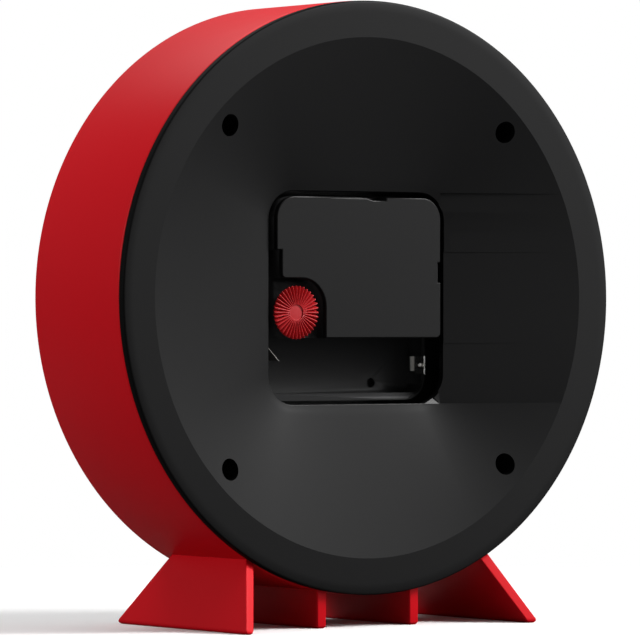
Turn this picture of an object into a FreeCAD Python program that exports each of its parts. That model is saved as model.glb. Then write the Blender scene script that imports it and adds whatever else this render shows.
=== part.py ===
import FreeCAD, Part
import Sketcher
import math
import os

# A round table clock on four feet, with a snap-in quartz movement that is set from the back.
# Millimetres. +Z is up and the dial faces -Y. The origin lies on the table, under the middle of
# the feet. Every piece is drawn about the drum's axis, and its placement lifts it off the table.

document = FreeCAD.newDocument("TableClock")
sheet = document.addObject("Spreadsheet::Sheet", "Sizes")

SIZES = [
    ("case_radius", 80.6, "outside of the drum"),
    ("ground_gap", 8.6, "between the drum and the table"),
    ("case_wall", 2.6, "wall of the drum"),
    ("case_depth", 42.0, "length of the drum"),
    ("case_round", 0.8, "rounding of the drum's two outer edges"),
    ("cover_face", 21.6, "rear face of the back cover, behind the origin"),
    ("cover_proud", 2.1, "flange of the back cover behind the drum"),
    ("cover_inset", 0.6, "outside of the back cover inside the drum's outside"),
    ("ring_width", 9.4, "flat ring of the cover, from its outside to the crease of the dish"),
    ("dish_depth", 7.85, "depth of the dish at the movement's opening"),
    ("shell", 2.2, "wall of the back cover"),
    ("opening_gap", 0.9, "between the movement and the square opening"),
    ("opening_round", 8.0, "corner radius of the opening"),
    ("spigot_wall", 1.8, "wall of the rim that enters the drum"),
    ("spigot_length", 6.0, "how far that rim reaches in"),
    ("fit_gap", 0.15, "clearance of pieces that drop into the drum"),
    ("panel_half", 29.0, "half height of the plain panel beside the opening"),
    ("panel_low", 12.4, "lower step of that panel, below the axis"),
    ("panel_high", 12.7, "upper step of that panel, above the axis"),
    ("panel_step", 0.15, "difference in depth between its three bands"),
    ("foot_reach", 48.66, "outer face of a side foot at the table, from the middle"),
    ("foot_root", 39.0, "outer face of a side foot at the drum's inner wall"),
    ("foot_thick", 2.9, "plate thickness of a side foot"),
    ("foot_rear", 32.35, "rear end of a side foot at the table, before its lower edge is rounded"),
    ("foot_front", 32.6, "front end of a side foot at the table, before its lower edge is rounded"),
    ("foot_rear_root", 17.7, "rear end of a side foot at the drum's inner wall"),
    ("foot_front_root", 15.1, "front end of a side foot at the drum's inner wall"),
    ("foot_round", 1.2, "rounding along the feet's lower edges"),
    ("fin_place", 15.36, "middle of a fin, from the middle of the clock"),
    ("fin_thick", 3.1, "thickness of a fin"),
    ("fin_inset", 0.25, "fin's ends inside the drum's ends"),
    ("ledge_width", 20.0, "width of the ledge that carries the dial"),
    ("ledge_thick", 2.5, "thickness of that ledge"),
    ("screw_inset", 13.2, "middle of a cover screw from the drum's inner wall"),
    ("post_radius", 4.0, "screw post on the ledge"),
    ("post_length", 5.1, "length of the screw posts"),
    ("pilot_radius", 1.5, "hole in a screw post"),
    ("pilot_depth", 6.5, "depth of that hole"),
    ("well_radius", 2.95, "mouth of a screw well in the cover"),
    ("well_wall", 1.35, "wall of a screw well"),
    ("well_floor", 1.6, "floor under a screw's head"),
    ("well_gap", 0.1, "between a well and its post"),
    ("screw_head", 2.7, "radius of a screw head"),
    ("head_height", 1.8, "height of a screw head"),
    ("screw_shank", 1.42, "radius of a screw's shank"),
    ("shank_length", 7.4, "length of the shank"),
    ("recess_width", 0.9, "slot of the cross recess"),
    ("recess_span", 3.4, "length of the cross recess"),
    ("recess_depth", 1.0, "depth of the cross recess"),
    ("movement_inset", 6.3, "movement's rear face below the cover's face"),
    ("movement_depth", 16.0, "movement from its rear face to its dial side"),
    ("lid_margin", 0.7, "movement's side outside its lid"),
    ("movement_round", 6.5, "corner radius of the movement"),
    ("gasket_thick", 0.6, "rubber sheet between movement and dial"),
    ("gasket_half", 20.0, "half width of that sheet"),
    ("dial_thick", 1.2, "thickness of the dial"),
    ("lens_thick", 2.0, "thickness of the lens"),
    ("bezel_depth", 2.6, "depth of the lens's retaining ring"),
    ("bezel_inset", 0.4, "that ring inside the drum's front edge"),
    ("bezel_wall", 3.2, "width of the retaining ring"),
    ("bezel_bevel", 1.4, "bevel on its inner edge"),
    ("ring_wall", 2.2, "wall of the distance ring at the lens"),
    ("ring_foot", 4.6, "wall of the distance ring at the dial"),
    ("bush_radius", 3.95, "threaded bush of the movement"),
    ("bush_length", 4.7, "bush from the movement's dial side"),
    ("bush_gap", 0.1, "dial hole around the bush"),
    ("washer_radius", 7.5, "washer under the hand nut"),
    ("washer_thick", 0.5, "thickness of the washer"),
    ("nut_flats", 12.0, "hand nut across flats"),
    ("nut_height", 2.4, "hand nut's height"),
    ("housing_wall", 1.0, "side wall of the movement housing"),
    ("bay_partition", 0.6, "wall between the wheels' chamber and the battery bay"),
    ("front_wall", 1.6, "dial-side wall of the movement housing"),
    ("lid_thick", 1.4, "thickness of the movement's rear lid"),
    ("lid_half", 27.3, "half width of the lid"),
    ("lid_rise", 0.1, "how much higher than wide the lid reaches"),
    ("lid_base", -10.9, "lower edge of the lid"),
    ("lid_round", 6.0, "upper corner radius of the lid"),
    ("lid_corner", 1.5, "lower corner radius of the lid"),
    ("notch_left", -9.1, "one end of the lid's upper snap notch"),
    ("notch_right", 9.4, "its other end"),
    ("notch_deep", -4.6, "inner end of that notch's deep part"),
    ("notch_ramp", 2.2, "length of the ramp beside it"),
    ("notch_shallow", 0.25, "depth of the notch beyond the ramp"),
    ("notch_depth", 0.9, "depth of the snap notches"),
    ("side_notch_low", 4.3, "lower end of the side notch"),
    ("side_notch_high", 9.75, "upper end of the side notch"),
    ("step_low", 5.3, "top of the lid's cut-out for the knob"),
    ("step_high", 12.9, "upper end of the step beside the cut-out"),
    ("step_depth", 1.7, "depth of that step"),
    ("cutout_left", 11.2, "side of the cut-out"),
    ("cutout_round", 7.8, "large corner radius of the cut-out"),
    ("step_round", 1.3, "small corner radius of the cut-out"),
    ("knob_x", 20.6, "set knob beside the axis"),
    ("knob_z", -4.0, "set knob above the axis"),
    ("knob_radius", 7.3, "outside of the set knob"),
    ("knob_hub", 2.3, "plain hub in the middle of the knob"),
    ("hub_sink", 0.65, "hub's face below the ribs"),
    ("knob_inset", 0.55, "knob's rear face below the movement's rear face"),
    ("knob_height", 3.3, "height of the knob"),
    ("knob_rim", 1.7, "thickness of its ribbed disc"),
    ("knob_boss", 4.2, "boss under that disc"),
    ("rib_count", 36, "ribs of the set knob"),
    ("rib_tip", 0.34, "width of a rib's top"),
    ("rib_depth", 1.05, "depth of the grooves between the ribs at the rim"),
    ("well_level", 11.2, "floor of the knob's recess, behind the origin"),
    ("moat_depth", 2.0, "channel beside that floor"),
    ("moat_width", 1.0, "width of that channel under the lid's cut-out"),
    ("well_side", 25.45, "outer side of the recess floor"),
    ("well_corner", 3.0, "its lower corner radius"),
    ("well_plate", 1.0, "thickness of the wall under the channel"),
    ("setting_shaft", 1.5, "shaft between the set knob and its pinion"),
    ("post_round", 1.5, "posts under the train plate"),
    ("bay_wall", 1.2, "end walls of the battery bay"),
    ("bay_base", -26.05, "lower side of the bay"),
    ("bay_round", 2.5, "corner radius of the bay"),
    ("bay_rim", 8.3, "bay walls below the movement's rear face"),
    ("bay_floor", 14.65, "bay's floor below the movement's rear face"),
    ("drain_x", -14.15, "small hole in the bay's floor, beside the axis"),
    ("drain_z", -23.3, "small hole in the bay's floor, above the axis"),
    ("drain_radius", 1.35, "radius of that hole"),
    ("motion_module", 0.5, "tooth size of the motion work"),
    ("hour_teeth", 40, "teeth of the hour wheel"),
    ("motion_pinion_teeth", 10, "teeth of the motion wheel's pinion"),
    ("motion_teeth", 36, "teeth of the motion wheel"),
    ("cannon_teeth", 12, "teeth of the cannon pinion"),
    ("setting_teeth", 12, "teeth of the setting pinion"),
    ("train_module", 0.3, "tooth size of the going train"),
    ("pinion_teeth", 8, "teeth of the small pinions"),
    ("seconds_teeth", 60, "teeth of the seconds wheel"),
    ("third_teeth", 60, "teeth of the third wheel"),
    ("centre_teeth", 64, "teeth of the centre wheel"),
    ("fifth_teeth", 40, "teeth of the fifth wheel"),
    ("fifth_pinion_teeth", 10, "teeth of the fifth wheel's pinion"),
    ("third_turn", 95.0, "direction of the third wheel's arbor"),
    ("fifth_turn", 170.0, "direction of the fifth wheel's arbor"),
    ("rotor_turn", 140.0, "direction of the rotor from the fifth wheel"),
    ("wheel_thick", 0.8, "thickness of a wheel"),
    ("layer_gap", 0.4, "space between one wheel's layer and the next"),
    ("arbor_radius", 0.6, "arbor between its wheels"),
    ("pivot_radius", 0.4, "pivot at an arbor's end"),
    ("running_gap", 0.05, "radial clearance of what turns"),
    ("press_gap", 0.01, "gap of pieces that are pressed together"),
    ("end_gap", 0.3, "clearance at the ends of what turns"),
    ("bearing_wall", 0.9, "wall of a bearing boss"),
    ("plate_thick", 0.8, "train plate"),
    ("seconds_arbor", 0.5, "seconds arbor"),
    ("minute_tube", 1.6, "outside of the minute tube"),
    ("hour_tube", 2.5, "outside of the hour tube"),
    ("clutch_neck", 2.0, "neck of the cannon pinion in the train plate"),
    ("centre_seat", 1.7, "seat of the centre wheel on the minute arbor"),
    ("rotor_radius", 1.5, "rotor magnet"),
    ("magnet_height", 2.2, "height of the rotor magnet"),
    ("stator_gap", 0.5, "air gap round the magnet"),
    ("stator_thick", 0.8, "stator sheet"),
    ("coil_z", 22.3, "coil axis above the drum's axis"),
    ("coil_left", -23.4, "one end of the coil"),
    ("coil_right", -8.3, "other end of the coil"),
    ("coil_core", 1.2, "half width of the coil's core"),
    ("coil_radius", 3.4, "outside of the winding"),
    ("flange_radius", 3.9, "end flanges of the bobbin"),
    ("flange_thick", 0.8, "thickness of those flanges"),
    ("board_thick", 1.0, "circuit board"),
    ("chip_radius", 2.2, "drop of resin over the circuit"),
    ("can_radius", 1.0, "quartz crystal's can"),
    ("can_length", 6.0, "length of that can"),
    ("contact_thick", 0.4, "battery contact sheet"),
    ("contact_rear", 7.1, "rear edges of the contacts below the movement's rear face"),
    ("contact_z", -17.7, "middle of the positive contact above the axis"),
    ("contact_half", 3.4, "half height of the positive contact"),
    ("dimple_radius", 0.9, "raised dimple of the positive contact"),
    ("dimple_height", 1.5, "height of that dimple"),
    ("tab_low", 1.4, "folded tab of the positive contact above the bay's floor"),
    ("tab_high", 3.2, "upper edge of that tab"),
    ("tab_half", 2.05, "half height of the tab"),
    ("tab_reach", 0.8, "how far the tab leans into the bay"),
    ("flap_reach", 5.1, "how far the negative contact's flap reaches into the bay"),
    ("flap_low", -17.1, "lower edge of that flap above the axis"),
    ("socket_depth", 1.8, "how far the set knob's shaft enters the knob"),
    ("hand_thick", 0.5, "sheet of the hands"),
    ("hand_collar", 0.9, "wall of a hand's collar"),
    ("collar_height", 1.2, "height of a hand's collar"),
    ("hand_proud", 0.3, "how far a tube stands out of its hand"),
    ("hour_length", 42.0, "hour hand from the axis"),
    ("hour_width", 5.0, "hour hand"),
    ("hour_tail", 9.0, "hour hand behind the axis"),
    ("minute_length", 62.0, "minute hand from the axis"),
    ("minute_width", 3.6, "minute hand"),
    ("minute_tail", 12.0, "minute hand behind the axis"),
    ("second_length", 64.0, "seconds hand from the axis"),
    ("second_width", 1.3, "seconds hand"),
    ("second_tail", 18.0, "seconds hand behind the axis"),
    ("hand_space", 1.3, "space between one hand and the next"),
    ("nut_space", 1.0, "space between the hand nut and the hour hand"),
    ("shown_hour", 10, "hour that the hands show at rest"),
    ("shown_minute", 10, "minute that they show"),
    ("shown_second", 35, "second that they show"),
]


class Length:
    """A size, with its number and with the expression that ties it to the sheet."""

    def __init__(self, number, text):
        self.number = float(number)
        self.text = text

    def __add__(self, other):
        other = as_length(other)
        return Length(self.number + other.number, "(%s + %s)" % (self.text, other.text))

    def __radd__(self, other):
        return as_length(other) + self

    def __sub__(self, other):
        other = as_length(other)
        return Length(self.number - other.number, "(%s - %s)" % (self.text, other.text))

    def __rsub__(self, other):
        return as_length(other) - self

    def __mul__(self, other):
        other = as_length(other)
        return Length(self.number * other.number, "%s * %s" % (self.text, other.text))

    def __rmul__(self, other):
        return as_length(other) * self

    def __truediv__(self, other):
        other = as_length(other)
        return Length(self.number / other.number, "(%s / (%s))" % (self.text, other.text))

    def __neg__(self):
        return 0 - self


def as_length(value):
    return value if isinstance(value, Length) else Length(value, "(%g)" % value)


def root(value):
    return Length(math.sqrt(value.number), "sqrt(%s)" % value.text)


def cosine(angle):
    return Length(math.cos(math.radians(angle.number)), "cos((%s) * 1 deg)" % angle.text)


def sine(angle):
    return Length(math.sin(math.radians(angle.number)), "sin((%s) * 1 deg)" % angle.text)


class Sizes:
    """The sheet's rows, each readable as an attribute with its own name."""

    def __init__(self, rows):
        for number, (alias, value, meaning) in enumerate(rows, start=1):
            sheet.set("A%d" % number, alias)
            sheet.set("B%d" % number, str(value))
            sheet.set("C%d" % number, meaning)
            sheet.setAlias("B%d" % number, alias)
        document.recompute()
        for alias, value, meaning in rows:
            setattr(self, alias, Length(sheet.get(alias), "Sizes." + alias))


s = Sizes(SIZES)
axis_height = s.case_radius + s.ground_gap


def bind(thing, path, value):
    """Tie one property of an object to the sheet."""
    thing.setExpression(path, as_length(value).text)


def place(thing, x=0, z=0, turn=0):
    """Put a piece on its own axis in the clock: turn is clockwise as the dial is read."""
    spot = FreeCAD.Vector(as_length(x).number, 0, as_length(axis_height + z).number)
    rotation = FreeCAD.Rotation(FreeCAD.Vector(0, 1, 0), as_length(turn).number)
    thing.Placement = FreeCAD.Placement(spot, rotation)
    bind(thing, "Placement.Base.x", x)
    bind(thing, "Placement.Base.z", axis_height + z)
    if isinstance(turn, Length):
        bind(thing, "Placement.Rotation.Angle", turn)


def new_body(label, x=0, z=0, turn=0):
    body = document.addObject("PartDesign::Body", label)
    body.Label = label
    place(body, x, z, turn)
    return body


def new_sketch(body, name, role, level=0):
    """An empty sketch on one of the body's own planes, moved along that plane's normal."""
    sketch = body.newObject("Sketcher::SketchObject", name)
    plane = next(item for item in body.Origin.OriginFeatures if item.Role == role)
    sketch.AttachmentSupport = [(plane, "")]
    sketch.MapMode = "FlatFace"
    bind(sketch, "AttachmentOffset.Base.z", level)
    return sketch


def pin_point(sketch, curve, vertex, x, y, name):
    """Fix one point of a sketch at a distance from its origin."""
    for kind, value in (("DistanceX", x), ("DistanceY", y)):
        value = as_length(value)
        index = sketch.addConstraint(Sketcher.Constraint(kind, -1, 1, curve, vertex, value.number))
        sketch.renameConstraint(index, "%s_%s" % (name, kind[-1].lower()))
        bind(sketch, "Constraints." + "%s_%s" % (name, kind[-1].lower()), value)


def draw(sketch, corners, name="corner"):
    """A closed outline. A corner is (x, y), or (x, y, radius) where an arc leads on from it:
    a positive radius bends to the left, a negative one to the right."""
    first = sketch.GeometryCount
    spots = [FreeCAD.Vector(as_length(c[0]).number, as_length(c[1]).number, 0) for c in corners]
    curves = []
    for index, corner in enumerate(corners):
        start = spots[index]
        end = spots[(index + 1) % len(spots)]
        if len(corner) == 2:
            curves.append(Part.LineSegment(start, end))
            continue
        radius = as_length(corner[2]).number
        chord = end - start
        side = math.sqrt(max(radius ** 2 - chord.Length ** 2 / 4, 0))
        normal = FreeCAD.Vector(-chord.y, chord.x, 0).normalize() * math.copysign(side, radius)
        middle = start + chord * 0.5 + normal
        angles = [math.atan2(p.y - middle.y, p.x - middle.x) for p in (start, end)]
        if radius < 0:
            angles.reverse()
        circle = Part.Circle(middle, FreeCAD.Vector(0, 0, 1), abs(radius))
        curves.append(Part.ArcOfCircle(circle, *angles))
    sketch.addGeometry(curves)
    starts = [2 if len(c) == 3 and as_length(c[2]).number < 0 else 1 for c in corners]
    for index, corner in enumerate(corners):
        curve = first + index
        following = first + (index + 1) % len(corners)
        after = starts[(index + 1) % len(corners)]
        sketch.addConstraint(Sketcher.Constraint("Coincident", curve, 3 - starts[index], following, after))
        if len(corner) == 3:
            radius = corner[2] if as_length(corner[2]).number > 0 else -as_length(corner[2])
            hold = sketch.addConstraint(Sketcher.Constraint("Radius", curve, as_length(radius).number))
            sketch.renameConstraint(hold, "%s%d_radius" % (name, index))
            bind(sketch, "Constraints.%s%d_radius" % (name, index), radius)
        pin_point(sketch, curve, starts[index], corner[0], corner[1], "%s%d" % (name, index))


def draw_circle(sketch, x, y, radius, name="circle"):
    spot = FreeCAD.Vector(as_length(x).number, as_length(y).number, 0)
    curve = sketch.addGeometry(Part.Circle(spot, FreeCAD.Vector(0, 0, 1), as_length(radius).number))
    hold = sketch.addConstraint(Sketcher.Constraint("Radius", curve, as_length(radius).number))
    sketch.renameConstraint(hold, name + "_radius")
    bind(sketch, "Constraints.%s_radius" % name, radius)
    pin_point(sketch, curve, 3, x, y, name)


def volume_of(body):
    document.recompute()
    return body.Shape.Volume if not body.Shape.isNull() else 0.0


PATTERNS = ("PolarPattern", "Mirrored")


def feature(body, kind, name, **settings):
    """Add one feature to a body, and make sure that it adds or removes material as it should."""
    before = volume_of(body)
    item = body.newObject("PartDesign::" + kind, name)
    for key, value in settings.items():
        if isinstance(value, Length):
            bind(item, key, value)
        else:
            setattr(item, key, value)
    body.Tip = item
    change = volume_of(body) - before
    adds = kind in ("Pad", "Revolution", "AdditiveLoft")
    if "Invalid" in item.State or abs(change) < 1e-6 or (change > 0) != adds and kind not in PATTERNS:
        raise ValueError("%s in %s changes the volume by %.3f" % (name, body.Label, change))
    return item


def revolve(body, name, corners, kind="Revolution"):
    """Turn a profile of (radius, distance behind the origin) about the body's Y axis."""
    sketch = new_sketch(body, name + "_profile", "XY_Plane")
    draw(sketch, corners)
    return feature(body, kind, name, Profile=sketch, ReferenceAxis=(sketch, ["V_Axis"]), Angle=360.0)


def facing_sketch(body, name, rear):
    """A sketch seen from the front, x to the right and y up, lying rear behind the origin."""
    return new_sketch(body, name, "XZ_Plane", -as_length(rear))


def pad(body, sketch, name, length):
    """Add material from a facing sketch towards the dial."""
    return feature(body, "Pad", name, Profile=sketch, Length=as_length(length))


def pocket(body, sketch, name, length):
    """Remove material from a facing sketch towards the dial."""
    return feature(body, "Pocket", name, Profile=sketch, Length=as_length(length), Reversed=True)


def rounded_square(half, radius):
    """Corners of a rounded square about the axis, starting at its right side."""
    inner = half - radius
    return [(half, -inner), (half, inner, radius), (inner, half), (-inner, half, radius),
            (-half, inner), (-half, -inner, radius), (-inner, -half), (inner, -half, radius)]


def turned(label, corners, x=0, z=0):
    """A piece of its own that is one turned profile."""
    body = new_body(label, x, z)
    revolve(body, "turned_profile", corners)
    return body


def tube(inner, outer, front, rear):
    return [(inner, front), (outer, front), (outer, rear), (inner, rear)]


def disc(outer, front, rear):
    return tube(0, outer, front, rear)


# Places along the clock's axis, from the back cover to the front edge. Positive is behind.
case_rear = s.cover_face - s.cover_proud
case_front = case_rear - s.case_depth
case_inner = s.case_radius - s.case_wall
ledge_inner = case_inner - s.ledge_width
lid_top = s.lid_half + s.lid_rise
movement_half = s.lid_half + s.lid_margin
opening_half = movement_half + s.opening_gap
bay_half = movement_half - s.bay_wall
cover_radius = s.case_radius - s.cover_inset
ring_inner = cover_radius - s.ring_width
screw_place = (case_inner - s.screw_inset) / math.sqrt(2)
drop_in = case_inner - s.fit_gap
movement_rear = s.cover_face - s.movement_inset
movement_front = movement_rear - s.movement_depth
dial_rear = movement_front - s.gasket_thick
dial_front = dial_rear - s.dial_thick
ledge_rear = dial_rear + s.ledge_thick
post_rear = ledge_rear + s.post_length
bezel_front = case_front + s.bezel_inset
lens_front = bezel_front + s.bezel_depth
lens_rear = lens_front + s.lens_thick
table = -axis_height


def four_corners(distance):
    return [(distance, distance), (-distance, distance), (-distance, -distance), (distance, -distance)]


def edges_at_height(shape, height):
    """Names of the edges that lie on one level plane."""
    found = []
    for index, edge in enumerate(shape.Edges, start=1):
        if abs(edge.BoundBox.ZMin - height) < 1e-4 and abs(edge.BoundBox.ZMax - height) < 1e-4:
            found.append("Edge%d" % index)
    return found


def rims(shape, radius, *levels):
    """Names of the full circles of one radius about the axis, at the given places along it."""
    found = []
    for index, edge in enumerate(shape.Edges, start=1):
        box = edge.BoundBox
        if box.YLength < 1e-4 and abs(box.XMax - radius) < 1e-3 and abs(box.XLength - 2 * radius) < 1e-2:
            if min(abs(box.YMin - level) for level in levels) < 1e-3:
                found.append("Edge%d" % index)
    return found


# The case is one moulding: the drum, its two fins and two flared side feet, and inside it the
# ledge that carries the dial and the four posts that take the cover's screws.
case = new_body("case")
drum = facing_sketch(case, "drum_outline", case_rear)
draw_circle(drum, 0, 0, s.case_radius)
pad(case, drum, "drum", s.case_depth)
outer_rims = rims(case.Tip.Shape, s.case_radius.number, case_front.number, case_rear.number)
feature(case, "Fillet", "drum_edges", Radius=s.case_round, Base=(case.Tip, outer_rims))

foot_top = -root(case_inner * case_inner - s.foot_root * s.foot_root)
foot_flare = (s.foot_reach - s.foot_root) / (foot_top - table)
foot_across = s.foot_thick * root(1 + foot_flare * foot_flare)
levels = []
for name, level, outer, front, rear in (
        ("foot_sole", table, s.foot_reach, -s.foot_front, s.foot_rear),
        ("foot_neck", foot_top, s.foot_root, -s.foot_front_root, s.foot_rear_root)):
    sketch = new_sketch(case, name, "XY_Plane", level)
    draw(sketch, [(outer - foot_across, front), (outer, front), (outer, rear), (outer - foot_across, rear)])
    levels.append(sketch)
foot = feature(case, "AdditiveLoft", "side_foot", Profile=levels[0], Sections=[levels[1]], Ruled=True)

fin_sole = new_sketch(case, "fin_sole", "XY_Plane", table)
fin_sides = (s.fin_place - s.fin_thick / 2, s.fin_place + s.fin_thick / 2)
fin_ends = (case_front + s.fin_inset, case_rear - s.fin_inset)
draw(fin_sole, [(fin_sides[0], fin_ends[0]), (fin_sides[1], fin_ends[0]),
                (fin_sides[1], fin_ends[1]), (fin_sides[0], fin_ends[1])])
fin_height = axis_height - root(case_inner * case_inner - s.fin_place * s.fin_place)
fin = feature(case, "Pad", "fin", Profile=fin_sole, Length=fin_height)
side_plane = next(item for item in case.Origin.OriginFeatures if item.Role == "YZ_Plane")
feature(case, "Mirrored", "other_feet", Originals=[foot, fin], MirrorPlane=(side_plane, [""]))
feature(case, "Fillet", "foot_edges", Radius=s.foot_round,
        Base=(case.Tip, edges_at_height(case.Tip.Shape, table.number)))

revolve(case, "inside", [
    (0, case_front - 1), (case_inner, case_front - 1), (case_inner, dial_rear), (ledge_inner, dial_rear),
    (ledge_inner, ledge_rear), (case_inner, ledge_rear), (case_inner, case_rear + 1), (0, case_rear + 1),
], "Groove")
for name, level, radius, length, operation in (
        ("screw_posts", post_rear, s.post_radius, s.post_length, pad),
        ("screw_pilots", post_rear, s.pilot_radius, s.pilot_depth, pocket)):
    sketch = facing_sketch(case, name + "_outline", level)
    for index, (x, z) in enumerate(four_corners(screw_place)):
        draw_circle(sketch, x, z, radius, "circle%d" % index)
    operation(case, sketch, name, length)

# The back cover is a black moulding: a flat ring round a dish that falls to the square opening
# over the movement, a rim that enters the drum, and four deep wells for its screws.
cover = new_body("back_cover")
dish_floor = s.cover_face - s.dish_depth
spigot_front = case_rear - s.spigot_length
flange_inner = ring_inner - s.shell
spigot_inner = drop_in - s.spigot_wall
revolve(cover, "flange", [
    (flange_inner, case_rear), (spigot_inner, case_rear), (spigot_inner, spigot_front),
    (drop_in, spigot_front), (drop_in, case_rear), (cover_radius, case_rear),
    (cover_radius, s.cover_face), (flange_inner, s.cover_face),
])


def dish_sections(name, rear, ring, front, half, radius):
    """A circle and a rounded square with matching arcs, so that the dish's corners blend."""
    spread = math.radians(30)
    reach = ring * math.cos(spread)
    rise = ring * math.sin(spread)
    circle = facing_sketch(cover, name + "_ring", rear)
    draw(circle, [(reach, -rise, ring), (reach, rise, ring), (rise, reach, ring), (-rise, reach, ring),
                  (-reach, rise, ring), (-reach, -rise, ring), (-rise, -reach, ring), (rise, -reach, ring)])
    square = facing_sketch(cover, name + "_square", front)
    draw(square, rounded_square(half, radius))
    return circle, square


sections = dish_sections("dish_back", case_rear + s.cover_proud / 2, ring_inner + s.shell,
                         dish_floor - s.shell, opening_half + s.shell, s.opening_round + s.shell)
feature(cover, "AdditiveLoft", "dish_back", Profile=sections[0], Sections=[sections[1]], Ruled=True)
well_front = post_rear + s.well_gap
head_seat = well_front + s.well_floor
wells = facing_sketch(cover, "well_outline", s.cover_face)
for index, (x, z) in enumerate(four_corners(screw_place)):
    draw_circle(wells, x, z, s.well_radius + s.well_wall, "circle%d" % index)
pad(cover, wells, "wells", s.cover_face - well_front)
sections = dish_sections("dish", s.cover_face, ring_inner, dish_floor, opening_half, s.opening_round)
feature(cover, "SubtractiveLoft", "dish", Profile=sections[0], Sections=[sections[1]], Ruled=True)
opening = facing_sketch(cover, "opening_outline", s.cover_face)
draw(opening, rounded_square(opening_half, s.opening_round))
pocket(cover, opening, "opening", s.dish_depth + 2 * s.shell)
for name, level, radius in (("well_mouths", s.cover_face, s.well_radius),
                            ("screw_holes", head_seat + 1, s.pilot_radius + s.running_gap)):
    sketch = facing_sketch(cover, name + "_outline", level)
    for index, (x, z) in enumerate(four_corners(screw_place)):
        draw_circle(sketch, x, z, radius, "circle%d" % index)
    pocket(cover, sketch, name, level - (head_seat if name == "well_mouths" else well_front - 1))


def panel_band(name, low, high, sink):
    """One band of the plain panel between the opening and the ring: its surface falls straight
    from the ring's crease to the opening's side, and the next band lies a little deeper."""
    sketches = []
    inner = opening_half - 1
    for step in range(3):
        z = low + (high - low) * step / 2
        crease = root(ring_inner * ring_inner - z * z)
        slope = (s.dish_depth + sink) / (crease - opening_half)
        sketch = new_sketch(cover, "%s_%d" % (name, step), "XY_Plane", z)
        draw(sketch, [(-inner, dish_floor - sink - slope), (-inner, s.cover_face + slope),
                      (-crease - 1, s.cover_face + slope)])
        sketches.append(sketch)
    feature(cover, "SubtractiveLoft", name, Profile=sketches[0], Sections=sketches[1:], Ruled=False)


panel_band("upper_band", s.panel_high, s.panel_half, s.panel_step)
panel_band("middle_band", -s.panel_low, s.panel_high, 2 * s.panel_step)
panel_band("lower_band", -s.panel_half, -s.panel_low, 3 * s.panel_step)


# Four self-tapping screws with cross recesses hold the back cover. They sit deep in its wells.
def solid_of(corners):
    """A turned solid about the Y axis from (radius, distance behind the origin) corners."""
    spots = [FreeCAD.Vector(as_length(r).number, as_length(y).number, 0) for r, y in corners]
    face = Part.Face(Part.makePolygon(spots + spots[:1]))
    return face.revolve(FreeCAD.Vector(0, 0, 0), FreeCAD.Vector(0, 1, 0), 360)


def own_shape(label, shape, x=0, z=0, turn=0):
    thing = document.addObject("Part::Feature", label)
    thing.Label = label
    thing.Shape = shape
    place(thing, x, z, turn)
    return thing


def screw():
    head_rear = head_seat + s.head_height
    solid = solid_of([(0, head_seat - s.shank_length), (s.screw_shank, head_seat - s.shank_length),
                      (s.screw_shank, head_seat), (s.screw_head, head_seat),
                      (s.screw_head, head_seat + s.head_height / 2),
                      (s.screw_head - s.head_height / 3, head_rear), (0, head_rear)])
    across = s.recess_span.number
    slot = s.recess_width.number
    depth = s.recess_depth.number
    for width, height in ((across, slot), (slot, across)):
        corner = FreeCAD.Vector(-width / 2, head_rear.number - depth, -height / 2)
        solid = solid.cut(Part.makeBox(width, depth + 1, height, corner))
    return solid


screws = []
for x, z in four_corners(screw_place):
    one = screw()
    one.translate(FreeCAD.Vector(x.number, 0, z.number))
    screws.append(one)
own_shape("cover_screws", Part.makeCompound(screws))

# The lens, the ring that holds it in the drum's front, and the ring that keeps it off the dial.
turned("lens", disc(drop_in, lens_front, lens_rear))
bezel_inner = drop_in - s.bezel_wall
turned("front_bezel", [
    (bezel_inner, lens_front), (bezel_inner, bezel_front + s.bezel_bevel),
    (bezel_inner + s.bezel_bevel, bezel_front), (drop_in, bezel_front), (drop_in, lens_front),
])
turned("distance_ring", [
    (drop_in - s.ring_foot, dial_front), (drop_in - s.ring_wall, lens_rear),
    (drop_in, lens_rear), (drop_in, dial_front),
])

# The dial lies on the case's ledge. The movement hangs from it by its bush, nut and washer.
dial_hole = s.bush_radius + s.bush_gap
turned("dial", tube(dial_hole, drop_in, dial_front, dial_rear))
gasket = new_body("dial_gasket")
gasket_outline = facing_sketch(gasket, "gasket_outline", movement_front)
draw(gasket_outline, rounded_square(s.gasket_half, s.movement_round))
draw_circle(gasket_outline, 0, 0, dial_hole)
pad(gasket, gasket_outline, "gasket", s.gasket_thick)
nut_rear = dial_front - s.washer_thick
turned("nut_washer", tube(dial_hole, s.washer_radius, nut_rear, dial_front))
nut = new_body("hand_nut")
nut_outline = facing_sketch(nut, "nut_outline", nut_rear)
nut_corner = s.nut_flats / math.sqrt(3)
draw(nut_outline, [(nut_corner * round(math.cos(math.radians(60 * k)), 9),
                    nut_corner * round(math.sin(math.radians(60 * k)), 9)) for k in range(6)])
draw_circle(nut_outline, 0, 0, s.bush_radius + s.running_gap)
pad(nut, nut_outline, "nut", s.nut_height)

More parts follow.
